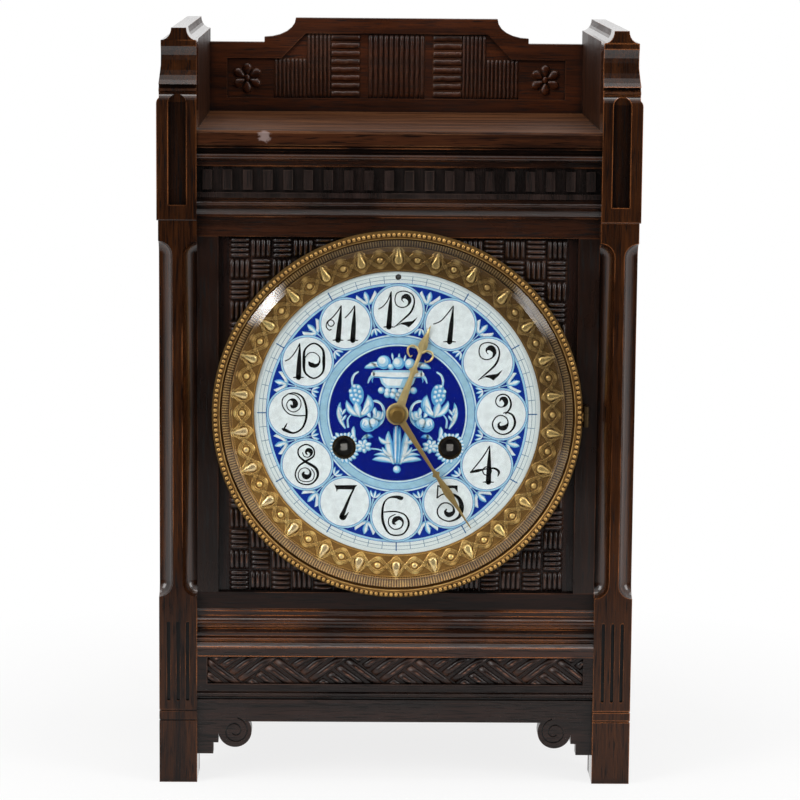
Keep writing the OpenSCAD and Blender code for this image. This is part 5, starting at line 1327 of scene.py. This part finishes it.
class Painter:
    """Flat shapes on the dial, in millimetres from its centre, in coats from 1 up."""

    def __init__(self):
        self.verts, self.faces, self.tints = [], [], []
        self.press = 1.0
        self.move()

    def move(self, x=0.0, z=0.0, turn=0.0, flip=1, scale=1.0):
        """Sets where the next shapes go: scaled, mirrored, turned clockwise, then shifted."""
        c, s = math.cos(math.radians(-turn)) * scale, math.sin(math.radians(-turn)) * scale
        self.at = lambda px, pz: (x + flip * px * c - pz * s, z + flip * px * s + pz * c)

    def sheet(self, points, faces, tint, coat):
        """Faces between points, in one tint."""
        first = len(self.verts)
        self.verts += [self.at(*point) + (coat,) for point in points]
        self.faces += [tuple(first + i for i in face) for face in faces]
        self.tints += [linear(tint)] * len(points)

    def band(self, inner, outer, tint, coat, turns=240):
        """A ring about the dial's centre, in cells small enough to cut holes in."""
        cells = max(1, round((outer - inner) / 1.2))
        points, faces = [], []
        for j in range(cells + 1):
            points += circle(0, 0, inner + (outer - inner) * j / cells, turns)
        for j in range(cells):
            for i in range(turns):
                k = (i + 1) % turns
                faces.append((j * turns + i, j * turns + turns + i, j * turns + turns + k, j * turns + k))
        self.sheet(points, faces, tint, coat)

    def blot(self, x, z, r, tint, coat, sides=20):
        """A round spot."""
        rim = circle(x, z, r, sides)
        self.sheet([(x, z)] + rim, [(0, i + 1, (i + 1) % sides + 1) for i in range(sides)], tint, coat)

    def fill(self, outline, tint, coat, smooth=False):
        """A filled shape."""
        if smooth:
            outline = [(p.x, p.y) for p in flowing(outline, closed=True, steps=4)]
        triangles = tessellate_polygon([[Vector((x, z, 0)) for x, z in outline]])
        self.sheet(outline, triangles, tint, coat)

    def brush(self, points, tint, coat, closed=False, steps=6):
        """A stroke through points of (x, z, width)."""
        line = flowing(points, closed, steps)
        count = len(line)
        edges = []
        for i, here in enumerate(line):
            after = line[(i + 1) % count] if closed or i + 1 < count else here
            before = line[i - 1] if closed or i else here
            way = Vector((after.x - before.x, after.y - before.y))
            way = way.normalized() if way.length > 1e-9 else Vector((0, 1))
            w = max(here.z, 0.08) * self.press / 2
            edges += [(here.x - way.y * w, here.y + way.x * w), (here.x + way.y * w, here.y - way.x * w)]
        faces = [(2 * i, 2 * i + 1, (2 * i + 3) % (2 * count), (2 * i + 2) % (2 * count))
                 for i in range(count if closed else count - 1)]
        self.sheet(edges, faces, tint, coat)
        for end in ([] if closed else [line[0], line[-1]]):
            if end.z > 0.5:
                self.blot(end.x, end.y, end.z * self.press / 2, tint, coat, 12)

    def petal(self, x0, z0, x1, z1, w, coat, bend=0.0, tints=LIGHTS):
        """A shaded petal from its foot to its tip, bowed to one side."""
        dx, dz = x1 - x0, z1 - z0
        for k, (tint, wide, end) in enumerate(zip(tints, (1, 0.72, 0.4), (1, 0.93, 0.8))):
            shift = 0.06 * w * k
            points = []
            for share, full in ((0, 0.35), (0.3, 0.85), (0.6, 1.0), (0.85, 0.6), (1, 0.1)):
                t = share * end
                bow = bend * 4 * t * (1 - t)
                points.append((x0 + dx * t - dz * bow - shift, z0 + dz * t + dx * bow + shift,
                               w * wide * full))
            self.brush(points, tint, coat + k, steps=4)

    def ball(self, x, z, r, coat, tints=LIGHTS):
        """A shaded round fruit or berry, lit from the upper left."""
        for k, (tint, size) in enumerate(zip(tints, (1, 0.78, 0.48))):
            self.blot(x - r * 0.13 * k, z + r * 0.13 * k, r * size, tint, coat + k, 16)


print("shades of a petal:", LIGHTS, "or", SHADES)

# %% [markdown]
# The finished sheets are laid on the dial, each coat a few hundredths of a millimetre over the
# last, and are cut round the dial's holes. A colour attribute carries the paint.

# %% Sheets onto the dial
COAT = 0.035
HOLE_X, HOLE_Z = 28.5, -18.5
HOLE_R, HUB_R, REGULATOR_R = 6.4, 4.4, 1.8


def laid_on_the_dial(painter, name, finish, cuts):
    """The painter's sheets as one piece, cut round each (x, z, radius) hole."""
    work = bmesh.new()
    paint = work.verts.layers.float_color.new("paint")
    verts = [work.verts.new(spot) for spot in painter.verts]
    for vert, tint in zip(verts, painter.tints):
        vert[paint] = tint
    for face in painter.faces:
        if len(set(face)) > 2:
            try:
                work.faces.new([verts[i] for i in face])
            except ValueError:
                pass
    for hx, hz, hr in cuts:
        inside = {v for v in work.verts if math.hypot(v.co.x - hx, v.co.y - hz) < hr}
        bmesh.ops.delete(work, geom=[f for f in work.faces if all(v in inside for v in f.verts)],
                         context="FACES")
        for vert in work.verts:
            away = math.hypot(vert.co.x - hx, vert.co.y - hz)
            if 1e-6 < away < hr:
                vert.co.x = hx + (vert.co.x - hx) * hr / away
                vert.co.y = hz + (vert.co.y - hz) * hr / away
    for vert in work.verts:
        vert.co = place(DIAL_X + vert.co.x, DIAL_DEPTH - vert.co.z * COAT, DIAL_Z + vert.co.y)
    bmesh.ops.dissolve_degenerate(work, edges=work.edges, dist=1e-7)
    work.normal_update()
    for face in work.faces:
        if face.normal.y > 0:
            face.normal_flip()
    bmesh.ops.delete(work, geom=[v for v in work.verts if not v.link_faces], context="VERTS")
    return built(name, work, finish)


print("winding holes at", (HOLE_X, HOLE_Z), "and", (-HOLE_X, HOLE_Z))

# %% [markdown]
# The dial's ground: a cobalt ring between pale borders, twelve white discs for the numbers, and
# a minute track of thin blue marks. Between the discs stands a small flower on a stem.

# %% Ground, discs and border flowers
NUMBER_RING, DISC_R = 55.9, 13.1


def disc_centre(hour):
    """The middle of an hour's disc, from the dial's centre."""
    a = math.radians(30 * hour)
    return NUMBER_RING * math.sin(a), NUMBER_RING * math.cos(a)


art = Painter()
art.band(4.4, 36.8, COBALT, 1)
art.band(42.7, 69.3, "#0a2d94", 1)
art.band(36.6, 42.8, "#a3cbe0", 2)
for radius, width, tint in ((37.1, 0.5, "#dfeef4"), (37.8, 0.25, MID), (41.6, 0.25, MID),
                            (42.4, 0.5, "#dfeef4")):
    art.band(radius - width / 2, radius + width / 2, tint, 3)
art.band(69.2, 70.3, PALE, 2)
art.band(70.3, 70.55, MID, 3)
art.band(72.3, 72.6, "#7f9aac", 1)
art.band(74.3, 74.55, "#8fa8b8", 1)
for minute in range(60):
    art.move(turn=6 * minute)
    if minute % 5:
        art.brush([(0, 70.5, 0.34), (0, 74.4)], "#6f91a8", 2, steps=1)
    elif minute:
        art.brush([(0, 70.5, 0.6), (0, 75.0)], "#1f5f96", 2, steps=1)
for hour in range(12):
    art.move(*disc_centre(hour))
    for k, (rim, tint) in enumerate(((1.35, "#1c3f94"), (1.15, PALE), (0.25, "#2a62b5"), (0, WHITE))):
        art.blot(0, 0, DISC_R + rim, tint, 12 + k, 64)
    art.move(turn=30 * hour + 15)
    # stem, its middle bead, and the bud that points inward
    art.brush([(0, 48.5, 1.0), (0, 52, 0.5), (0, 56.5, 0.3), (0, 60, 0.6), (0, 62.5, 1.1)], PALE, 4)
    art.blot(0, 56.5, 0.5, WHITE, 5, 12)
    for side in (-1, 1):
        art.petal(side * 0.2, 47.4, side * 2.7, 43.9, 1.6, 4, side * 0.12)
        art.petal(side * 0.3, 61.8, side * 5.0, 67.4, 2.9, 4, -side * 0.2, (PALE, WHITE, WHITE))
        art.petal(side * 0.2, 61.0, side * 2.4, 62.6, 1.1, 4, -side * 0.2, SHADES)
    art.petal(0, 47.6, 0, 43.5, 1.5, 5)
    art.petal(0, 61.6, -0.3, 68.2, 2.9, 7)
    art.brush([(-2.1, 65.6, 0.2), (-1.3, 64.4, 0.3), (-0.5, 63.6, 0.2)], SKY, 9)
print("dial cells so far:", len(art.faces))

# %% [markdown]
# The numbers are drawn in the manner of the period: thin hairlines, swelling stems and small
# spirals. Each is a few strokes about the middle of its disc, drawn with a pen for strokes, one
# for filled shapes and one for the upright of a one.

# %% Pens
NUMBER_COAT = 16


def ink(points, **how):
    """A black stroke."""
    art.brush(points, INK, NUMBER_COAT, **how)


def ink_fill(points):
    """A black shape."""
    art.fill(points, INK, NUMBER_COAT)


def stem(top, foot, flag, serif=2.9):
    """The upright of a one: a swelling stem, its flag and its foot."""
    (tx, tz), (fx, fz) = top, foot
    ink([(tx, tz, 0.3), (tx + (fx - tx) * 0.5, tz + (fz - tz) * 0.5, 1.7), (fx, fz, 2.2)])
    ink([(fx - serif, fz, 0.35), (fx, fz + 0.15, 0.7), (fx + serif, fz, 0.35)])
    if flag:
        ink([(tx, tz, 0.5)] + [(x, z, 0.45) for x, z in flag])


print("numbers are drawn in", INK, "on coat", NUMBER_COAT)

# %% [markdown]
# The low numbers: spirals where a stroke begins, and a thick belly where the pen is pressed.

# %% Two to five


def two():
    """The strokes of a two."""
    ink([
        (-5.3, -9.6, 0.3), (-0.5, -5.4, 0.7), (4.1, -0.8, 0.9), (6.0, 4.6, 0.7), (4.8, 9.0, 0.55),
        (0.4, 10.9, 0.5), (-3.6, 9.9), (-4.9, 6.5), (-4.0, 3.1), (-1.1, 1.7), (2.1, 2.7, 0.6),
        (3.4, 5.5, 1.6), (1.8, 7.9, 2.4), (-0.4, 7.5, 1.4), (-1.0, 6.0, 0.5), (0.1, 4.7, 0.3)])
    ink_fill([
        (-5.3, -9.6), (-0.9, -6.9), (1.5, -6.4), (4.8, -6.0), (8.0, -3.6), (5.8, -7.0), (3.0, -9.6),
        (0.8, -8.3), (-1.5, -7.8)])


def three():
    """The strokes of a three."""
    ink([
        (2.2, 0.15, 0.5), (4.7, 3.4, 0.8), (5.0, 6.8), (3.4, 9.9, 0.6), (0.5, 10.9), (-2.2, 9.6, 0.5),
        (-3.1, 6.8), (-1.8, 4.5), (0.5, 4.0), (2.4, 5.8, 1.6), (1.8, 8.1, 2.2), (-0.1, 8.6, 1.2),
        (-1.0, 7.0, 0.4)])
    ink([
        (1.0, 0.6, 0.4), (3.0, 1.1, 0.6), (6.2, -0.6, 0.9), (7.4, -4.9, 1.0), (5.3, -9.1, 0.8),
        (1.1, -10.9, 0.6), (-3.1, -9.1), (-4.7, -5.3), (-3.1, -1.8, 0.5), (-0.2, -0.5), (2.8, -2.0),
        (3.6, -4.9, 0.7), (1.8, -7.2, 2.2), (-0.7, -7.2, 1.6), (-1.4, -5.3, 0.8), (-0.2, -4.1, 0.4)])


def four():
    """The strokes of a four."""
    stem((1.5, 10.8), (1.0, -9.1), (), 3.0)
    ink([(1.5, 10.8, 0.5), (-2.4, 4.3, 0.55), (-8.6, -3.7, 0.5)])
    ink([
        (-8.6, -3.7, 0.8), (-4.7, -2.8, 1.3), (-1.7, -2.1, 0.6), (1.4, -1.6, 0.6), (4.4, -1.6, 0.9),
        (6.6, -3.4, 1.0), (6.0, -6.0, 0.3)])
    ink([spot + (0.5,) for spot in circle(0.2, -3, 2.3, 10)], closed=True, steps=3)


def five():
    """The strokes of a five."""
    ink_fill([(-5.8, 9.5), (4.9, 9.5), (5.0, 5.5), (4.2, 6.6), (3.2, 7.9), (-4.5, 7.9)])
    ink([(-5.7, 9.4, 0.6), (-5.9, 5.5), (-6.1, 2.6)])
    ink([
        (-6.1, 2.6, 0.5), (-3, 4.6, 0.6), (1.5, 4.8, 0.9), (5.6, 2.4, 1.5), (7.2, -2.6, 2.0),
        (5.7, -7.9, 1.2), (0.4, -10.2, 0.6), (-4.6, -8.1), (-5.9, -4.3), (-3.8, -0.8), (-0.4, -0.2),
        (2.5, -2.2, 0.6), (2.8, -5.2, 1.4), (0.2, -6.6, 2.2), (-1.6, -5.0, 1.2), (-0.8, -3.4, 0.4)])


print("low numbers: 4")

# %% [markdown]
# The high numbers and the nought curl into themselves.

# %% Six to nine, and nought


def six():
    """The strokes of a six."""
    ink([
        (3.6, 10.6, 0.3), (2.4, 9.9, 1.8), (-0.5, 10.5, 1.2), (-4.4, 9.8, 0.6), (-7.0, 6.4, 0.8),
        (-7.6, -0.5, 1.1), (-6.3, -5.9, 1.0), (-3.6, -9.7, 0.7), (0.2, -10.6), (4.3, -9.3),
        (6.7, -4.4, 0.9), (5.0, 0.2, 0.7), (1.2, 2.1, 0.6), (-2.4, 2.5), (-6.9, 2.1, 0.5)])
    ink([
        (-0.5, 1.0, 0.5), (-3.8, -1.0), (-4.0, -4.8), (-1.2, -7.2), (2.4, -6.4, 0.6), (3.6, -3.4, 0.8),
        (1.8, -1.2, 1.6), (-0.6, -1.8, 2.2), (-1.6, -3.8, 1.2), (-0.2, -4.6, 0.4)])


def seven():
    """The strokes of a seven."""
    ink_fill([(-5.7, 9.7), (-4.6, 9.2), (6.8, 9.4), (4.6, 6.9), (-3.7, 7.0), (-4.4, 5.4), (-4.6, 6.9)])
    ink([(5.2, 8.0, 0.6), (3.0, 3.4, 0.9), (0.6, -2.4, 1.3), (-0.9, -6.3, 1.8), (-1.6, -8.2, 2.0)])
    ink([(-1.9, -6.4, 0.8), (-1.6, -8.2, 2.0), (-0.4, -8.8, 1.6), (1.0, -7.2, 0.8), (2.2, -5.4, 0.2)])


def eight():
    """The strokes of a eight."""
    ink([
        (-0.9, 1.6, 0.9), (3.6, 4.6, 0.7), (3.4, 8.8, 0.6), (-0.4, 10.9), (-4.3, 8.8), (-4.4, 4.9, 0.7),
        (-0.9, 1.6, 1.0), (4.6, -1.8, 1.2), (5.9, -6.0, 1.0), (3.4, -9.9, 0.7), (-0.4, -11.0, 0.6),
        (-4.4, -9.6), (-6.2, -5.6), (-4.6, -1.2, 0.7)], closed=True)
    ink([
        (0.2, 5.3, 0.5), (-0.6, 6.6, 0.8), (0.4, 7.9, 1.6), (2.0, 7.2, 1.9), (2.2, 5.4, 1.0),
        (0.6, 4.0, 0.4), (-1.6, 4.6), (-2.4, 6.6)])
    ink([
        (2.4, -2.2, 0.4), (4.0, -5.0), (3.0, -8.4), (-0.4, -9.4), (-3.8, -8.4), (-4.6, -5.2),
        (-3.2, -2.6), (-0.6, -1.9), (1.6, -3.4, 0.6), (1.6, -5.8, 1.4), (-0.4, -6.8, 2.2),
        (-2.0, -5.4, 1.4), (-1.4, -3.9, 0.5)])


def nine():
    """The strokes of a nine."""
    ink([
        (-2.8, 10.4, 0.5), (1.0, 10.9, 0.6), (5.0, 8.6, 0.8), (7.0, 3.0, 1.0), (6.9, -3.2),
        (4.6, -8.4, 0.8), (0.2, -10.8, 0.8), (-4.4, -9.2, 1.4), (-6.2, -8.4, 0.4)])
    ink([(-5.4, -9.0, 0.3), (-4.2, -7.4, 0.7), (-3.2, -5.4, 0.2)])
    ink([(6.6, -1.3, 0.5), (2.0, -1.4), (-2.6, -0.2), (-5.6, 3.6), (-5.6, 7.8), (-2.8, 10.4)])
    ink([
        (-2.8, 10.4, 0.4), (1.2, 9.8), (4.0, 6.6), (3.6, 2.6), (0.4, 0.6), (-2.6, 2.0), (-3.4, 5.0),
        (-1.8, 7.2, 0.6), (0.4, 6.8, 1.8), (1.2, 4.6, 2.2), (-0.4, 3.4, 1.4), (-1.4, 4.6, 0.5)])


def nought():
    """The strokes of a nought."""
    ink([
        (8.8, 0.4, 1.3), (8.2, 6.6, 0.9), (3.5, 9.9, 0.7), (-1.2, 6.6, 0.8), (-1.8, 0.4, 1.3),
        (-1.2, -5.8, 0.9), (3.5, -9.0, 0.7), (8.2, -5.8, 0.8)], closed=True)
    ink([
        (-1.6, 1.5, 0.4), (0.6, 4.4), (3.6, 4.9), (6.4, 2.6), (6.4, -0.6, 0.8), (4.4, -2.2, 1.6),
        (2.0, -1.6, 2.0), (0.8, -0.2, 0.6)])


print("high numbers: 4, and the nought")

# %% [markdown]
# Each number goes on its disc. The hand presses harder here than on the flowers.

# %% Numbers on their discs


def numeral(hour):
    """The number of an hour, about the middle of its disc."""
    x, z = disc_centre(hour)
    art.move(x, z)
    if hour == 1:
        stem((1.6, 10.2), (-0.3, -9.3), ((-1.8, 5.6), (-5.3, 1.8), (-9.1, 0.2)), 3.4)
    elif hour == 10:
        stem((-4, 9.9), (-4.7, -8.6), ((-6.6, 5.0), (-9.4, 1.6), (-12, 0.2)))
        nought()
    elif hour == 11:
        stem((-2.4, 9.9), (-4.1, -8.8), ((-4.8, 6.2), (-7.4, 3.2), (-9.9, 1), (-10.4, -1.5), (-9, -3.3),
                                         (-7.6, -3)))
        ink([spot + (0.45,) for spot in circle(-7.9, 0.4, 1.7, 8)], closed=True, steps=3)
        stem((4.8, 9.9), (3.8, -8.8), ((2.6, 6.5), (-0.5, 3.2)))
    elif hour == 12:
        stem((-3.7, 10.2), (-4.9, -9.0), ((-5.6, 5.4), (-8.0, 2.2), (-10.6, 0.6)))
        art.move(x + 2.9, z, scale=0.95)
        two()
    else:
        {2: two, 3: three, 4: four, 5: five, 6: six, 7: seven, 8: eight, 9: nine}[hour]()


art.press = 1.3
for hour in range(1, 13):
    numeral(hour)
art.press = 1.0
print("numbers drawn: 12, cells so far:", len(art.faces))

# %% [markdown]
# On each side of the hands lies a bunch of berries and blossoms, mirrored, and below them an
# acanthus leaf. The winding holes sit in the largest blossoms, so their petals are ragged rings.

# %% Blossoms and leaves


def bouquet(side):
    """Berries, blossoms and leaves at one side."""
    art.move(flip=side)
    art.brush([(-21.2, 22.5, 0.9), (-23.2, 21.0, 1.2), (-24.4, 18.2, 1.2), (-24.2, 15.2, 0.9)], PALE, 2)
    art.brush([(-21.4, 22.3, 0.3), (-23.2, 20.7, 0.5), (-24.1, 17.6, 0.4)], WHITE, 3)
    art.fill([
        (-24.6, 14.8), (-20.6, 15.6), (-18.2, 11.6), (-18.8, 6.2), (-22.0, 3.6), (-25.8, 8.4)], SKY, 2, True)
    for x, z in ((-23.0, 14.6), (-20.8, 14.2), (-25.0, 12.0), (-22.6, 12.2), (-20.2, 11.6), (-24.4, 9.6),
                 (-22.0, 9.8), (-19.8, 9.0), (-23.0, 7.4), (-21.0, 6.8)):
        art.ball(x, z, 1.25, 3)
    art.petal(-20.2, -1.4, -27.2, 7.0, 3.6, 6, 0.16)
    art.petal(-19.2, -1.2, -15.8, 10.0, 5.2, 6, -0.18)
    art.petal(-20.0, -1.6, -22.0, 6.6, 4.2, 8, 0.05)
    art.petal(-18.6, -1.0, -14.8, 4.6, 2.8, 9, -0.1)
    art.brush([
        (-15.4, 5.4, 0.7), (-11.6, 6.9, 1.1), (-8.2, 4.4, 1.3), (-7.0, 0.2, 1.3), (-8.2, -4.6, 1.2),
        (-11.4, -7.6, 1.0)], PALE, 2)
    art.brush([(-12.6, 6.5, 0.3), (-9.2, 5.2, 0.5), (-7.6, 1.6, 0.4)], WHITE, 3)
    for x, z, r in ((-10.2, -1.6, 3.1), (-12.4, -5.2, 3.2), (-16.4, -5.8, 3.6)):
        art.ball(x, z, r, 3)
    art.petal(-11.4, -1.4, -11.8, 3.4, 2.6, 6, 0.1)
    art.petal(-14.4, -2.0, -15.6, 1.4, 2.6, 6, 0.1)
    art.petal(-8.8, -3.4, -7.8, 1.6, 1.8, 6, -0.1)
    art.brush([
        (-18.6, -3.6, 0.4), (-19.4, -7.0, 0.8), (-16.4, -9.6, 1.0), (-12.6, -8.6, 0.8),
        (-11.8, -6.0, 0.4)], SKY, 7)
    art.brush([(-17.4, -4.6, 0.3), (-17.9, -6.6, 0.5), (-16.2, -7.6, 0.4), (-15.0, -6.4, 0.3)], SKY, 7)
    art.brush([(-24.8, -0.6, 0.6), (-26.6, -3.4, 0.9), (-26.4, -7.4, 1.2)], PALE, 2)
    art.petal(-28.0, -8.0, -30.6, 6.0, 3.0, 2, 0.12)
    for x, z in ((-30.6, 2.4), (-31.2, -0.6), (-30.4, -3.6), (-28.4, 1.2), (-28.2, -2.2)):
        art.petal(-29.6, z - 2.0, x - 0.7 if x < -29 else x + 0.9, z + 1.4, 1.5, 3)
    # ragged petals round the winding hole
    ragged = random.Random(3)
    for i in range(22):
        a = math.tau * i / 22
        reach = ragged.uniform(7.8, 9.4) if 0.3 < a < 2.8 or 4.4 < a < 6.2 else ragged.uniform(7.0, 7.8)
        art.petal(-HOLE_X + 6.0 * math.cos(a), HOLE_Z + 6.0 * math.sin(a),
                  -HOLE_X + reach * math.cos(a + 0.1), HOLE_Z + reach * math.sin(a + 0.1), 2.2, 5)
    art.petal(-22.6, -13.4, -23.2, -7.0, 2.4, 5, 0.1)
    for k in range(7):
        a = math.tau * k / 7 + 0.4
        art.petal(-18.0 + math.cos(a), -17.9 + math.sin(a), -18.0 + 4.6 * math.cos(a),
                  -17.9 + 3.9 * math.sin(a), 2.6, 4)
    art.ball(-18.0, -17.9, 1.4, 7)
    art.petal(-18.6, -14.2, -12.8, -13.0, 2.8, 3, 0.2, SHADES)
    art.petal(-17.0, -13.8, -15.4, -11.2, 2.6, 3, tints=SHADES)
    art.brush([
        (-13.6, -19.2, 0.9), (-10.0, -19.6, 0.8), (-6.2, -21.2, 1.0), (-4.4, -23.4, 0.8)], PALE, 3)
    # acanthus
    art.petal(-1.6, -26.8, -13.2, -25.2, 3.2, 3, -0.1)
    art.petal(-1.4, -26.0, -12.4, -22.6, 2.2, 4, -0.16)
    art.petal(-1.8, -27.0, -4.6, -9.6, 4.4, 5, 0.06)
    art.petal(-3.6, -16.0, -9.8, -12.6, 2.6, 6, 0.18)
    art.petal(-2.6, -23.6, -8.0, -18.2, 2.4, 6, 0.1)
    art.petal(-0.4, -27.2, -1.5, -7.0, 3.4, 8, -0.02, SHADES)


for side in (1, -1):
    bouquet(side)
print("blossoms done, cells so far:", len(art.faces))

# %% [markdown]
# Above the hands stands an urn of fruit. Each form has a blue shadow, a pale body and a white
# light, so it looks rounded. With it and the acanthus's midrib the painting is done.

# %% Urn


def urn():
    """The urn with its fruit."""
    art.move()
    for x, z in ((-3.1, 32.4), (0.8, 32.2), (4.3, 31.4)):
        art.petal(x * 0.8, z - 3.4, x, z + 0.6, 1.3, 2)
    for side in (-1, 1):
        art.petal(side * 7.4, 26.8, side * 17.8, 24.6, 3.4, 2, side * 0.06)
        art.petal(side * 9.6, 25.2, side * 15.0, 27.6, 2.0, 2)
        art.brush([
            (side * 12.2, 21.6, 1.6), (side * 14.6, 19.4, 1.4), (side * 15.9, 16.4, 0.5)], PALE, 3)
        art.brush([
            (side * 13.0, 20.2, 0.8), (side * 13.6, 18.2, 0.7), (side * 13.4, 16.8, 0.3)], SKY, 2)
    for x, z, r in ((6.6, 27.0, 3.0), (-7.4, 27.8, 3.8), (0.4, 27.4, 3.3), (-3.6, 25.4, 1.8)):
        art.ball(x, z, r, 5)
    art.fill([(-9.8, 19.8), (9.8, 19.8), (8.6, 16.4), (6.4, 14.0), (-6.4, 14.0), (-8.6, 16.4)], PALE, 6)
    art.fill([(-8.4, 19.4), (3.0, 19.4), (1.4, 15.2), (-5.4, 15.2), (-7.4, 17.0)], WHITE, 7)
    art.brush([(-12.9, 22.9, 1.0), (0, 23.0, 1.2), (12.9, 22.9, 1.0)], PALE, 9)
    art.brush([(-13.2, 21.4, 2.2), (0, 21.2, 3.0), (13.2, 21.4, 2.2)], WHITE, 8)
    art.brush([(-12.4, 19.8, 0.5), (0, 19.3, 0.7), (12.4, 19.8, 0.5)], SKY, 10)
    for x, z in ((-8.6, 12.6), (-5.2, 12.2), (-1.8, 12.0), (1.8, 12.0), (5.2, 12.2), (8.6, 12.6),
                 (-5.4, 10.4), (-2.4, 10.0), (0.6, 9.9), (3.4, 10.2)):
        art.ball(x, z, 1.9, 5)
    art.petal(0, 11, 0, 6.4, 3.2, 4)


urn()
art.move()
art.brush([(0, -27.0, 1.0), (0.3, -16.0, 1.4), (0, -7.0, 1.0)], SKY, 12)
art.brush([(-0.9, -26.4, 0.6), (-0.7, -16.0, 0.8), (-0.7, -7.0, 0.5)], WHITE, 12)
art.ball(0, -30.4, 2.1, 2)
paint = laid_on_the_dial(art, "dial_painting", painted, (
    (HOLE_X, HOLE_Z, HOLE_R), (-HOLE_X, HOLE_Z, HOLE_R), (0, 73.7, REGULATOR_R), (0, 0, HUB_R)))
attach(paint, "case")
print("painting cells:", len(paint.data.polygons))

# %% [markdown]
# The hands are pierced brass, a little crowned. Each is built of strips that rise to a soft
# ridge: a blade with its collar, a ring at its root, and on the hour hand two C-scrolls. The
# solids give their depths, and their angles are those of the solids.

# %% Hands


def crowned_strip(work, points, back, front, turned):
    """A strip with a ridge along its middle, between two depths."""
    rows = []
    line = flowing(points, steps=5)
    for i, here in enumerate(line):
        after, before = line[min(i + 1, len(line) - 1)], line[max(i - 1, 0)]
        way = Vector((after.x - before.x, after.y - before.y)).normalized()
        w = max(here.z, 0.16) / 2
        row = []
        for share, depth in ((-1, back), (-1, back - 0.35), (0, front), (1, back - 0.35), (1, back)):
            x, z = turned(here.x - way.y * w * share, here.y + way.x * w * share)
            row.append(work.verts.new(place(DIAL_X + x, depth, DIAL_Z + z)))
        rows.append(row)
    for one, other in zip(rows, rows[1:]):
        bridged(work, one, other)
    work.faces.new(rows[0])
    work.faces.new(rows[-1][::-1])


def bridged(work, one, other):
    """Faces between two closed loops of corners."""
    for k in range(len(one)):
        beside = (k + 1) % len(one)
        work.faces.new((one[k], one[beside], other[beside], other[k]))


def hand(name, node, body, angle, root, hole, strips, turns=48):
    """A hand from its root ring and strips, turned clockwise by its angle."""
    low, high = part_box(node)
    front, back = depth_of(low.y), depth_of(high.y)
    c, s = math.cos(math.radians(-angle)), math.sin(math.radians(-angle))
    work = bmesh.new()
    for strip in strips:
        crowned_strip(work, strip, back, front, lambda x, z: (x * c - z * s, x * s + z * c))
    ring = [(hole, back), (hole, front + 0.1), (root - 0.9, front + 0.1), (root - 0.3, front + 0.25),
            (root, back - 0.3), (root, back)]
    loops = []
    for a in (math.tau * i / turns for i in range(turns)):
        loops.append([work.verts.new(place(DIAL_X + r * math.cos(a), depth, DIAL_Z + r * math.sin(a)))
                      for r, depth in ring])
    for i in range(turns):
        bridged(work, loops[i], loops[(i + 1) % turns])
    bmesh.ops.recalc_face_normals(work, faces=work.faces)
    thing = built(name, work, gilt_hands)
    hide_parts(node)
    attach(thing, body)
    print(name, "faces:", len(thing.data.polygons))


SCROLL = [(0.6, 35.4, 1.3), (2.8, 37.4, 1.2), (5.4, 37.6, 1.1), (7.0, 35.8, 1.1), (6.4, 33.2, 1.0),
          (4.4, 31.6, 0.8), (3.6, 32.6, 0.5)]
scrolls = [[(side * x, z, width) for x, z, width in SCROLL] for side in (-1, 1)]
hand("crowned_hour_hand", "hour_hand", "hour_works", 20, 6.0, 3.0,
     [[(0, 4.6, 5.0), (0, 14, 3.6), (0, 23, 2.6), (0, 25.0, 5.4), (0, 27, 2.4), (0, 33, 2.0), (0, 36, 2.2),
       (0, 39, 5.0), (0, 43, 3.4), (0, 47, 1.6), (0, 51, 0.3)]] + scrolls)
hand("crowned_minute_hand", "minute_hand", "minute_works", 147, 4.4, 1.3,
     [[(0, 3.4, 4.0), (0, 14, 3.0), (0, 24, 2.2), (0, 36, 1.7), (0, 38.6, 4.4), (0, 40.6, 2.2), (0, 46, 3.4),
       (0, 51, 4.4), (0, 57, 2.6), (0, 64, 1.3), (0, 73.5, 0.6)]])
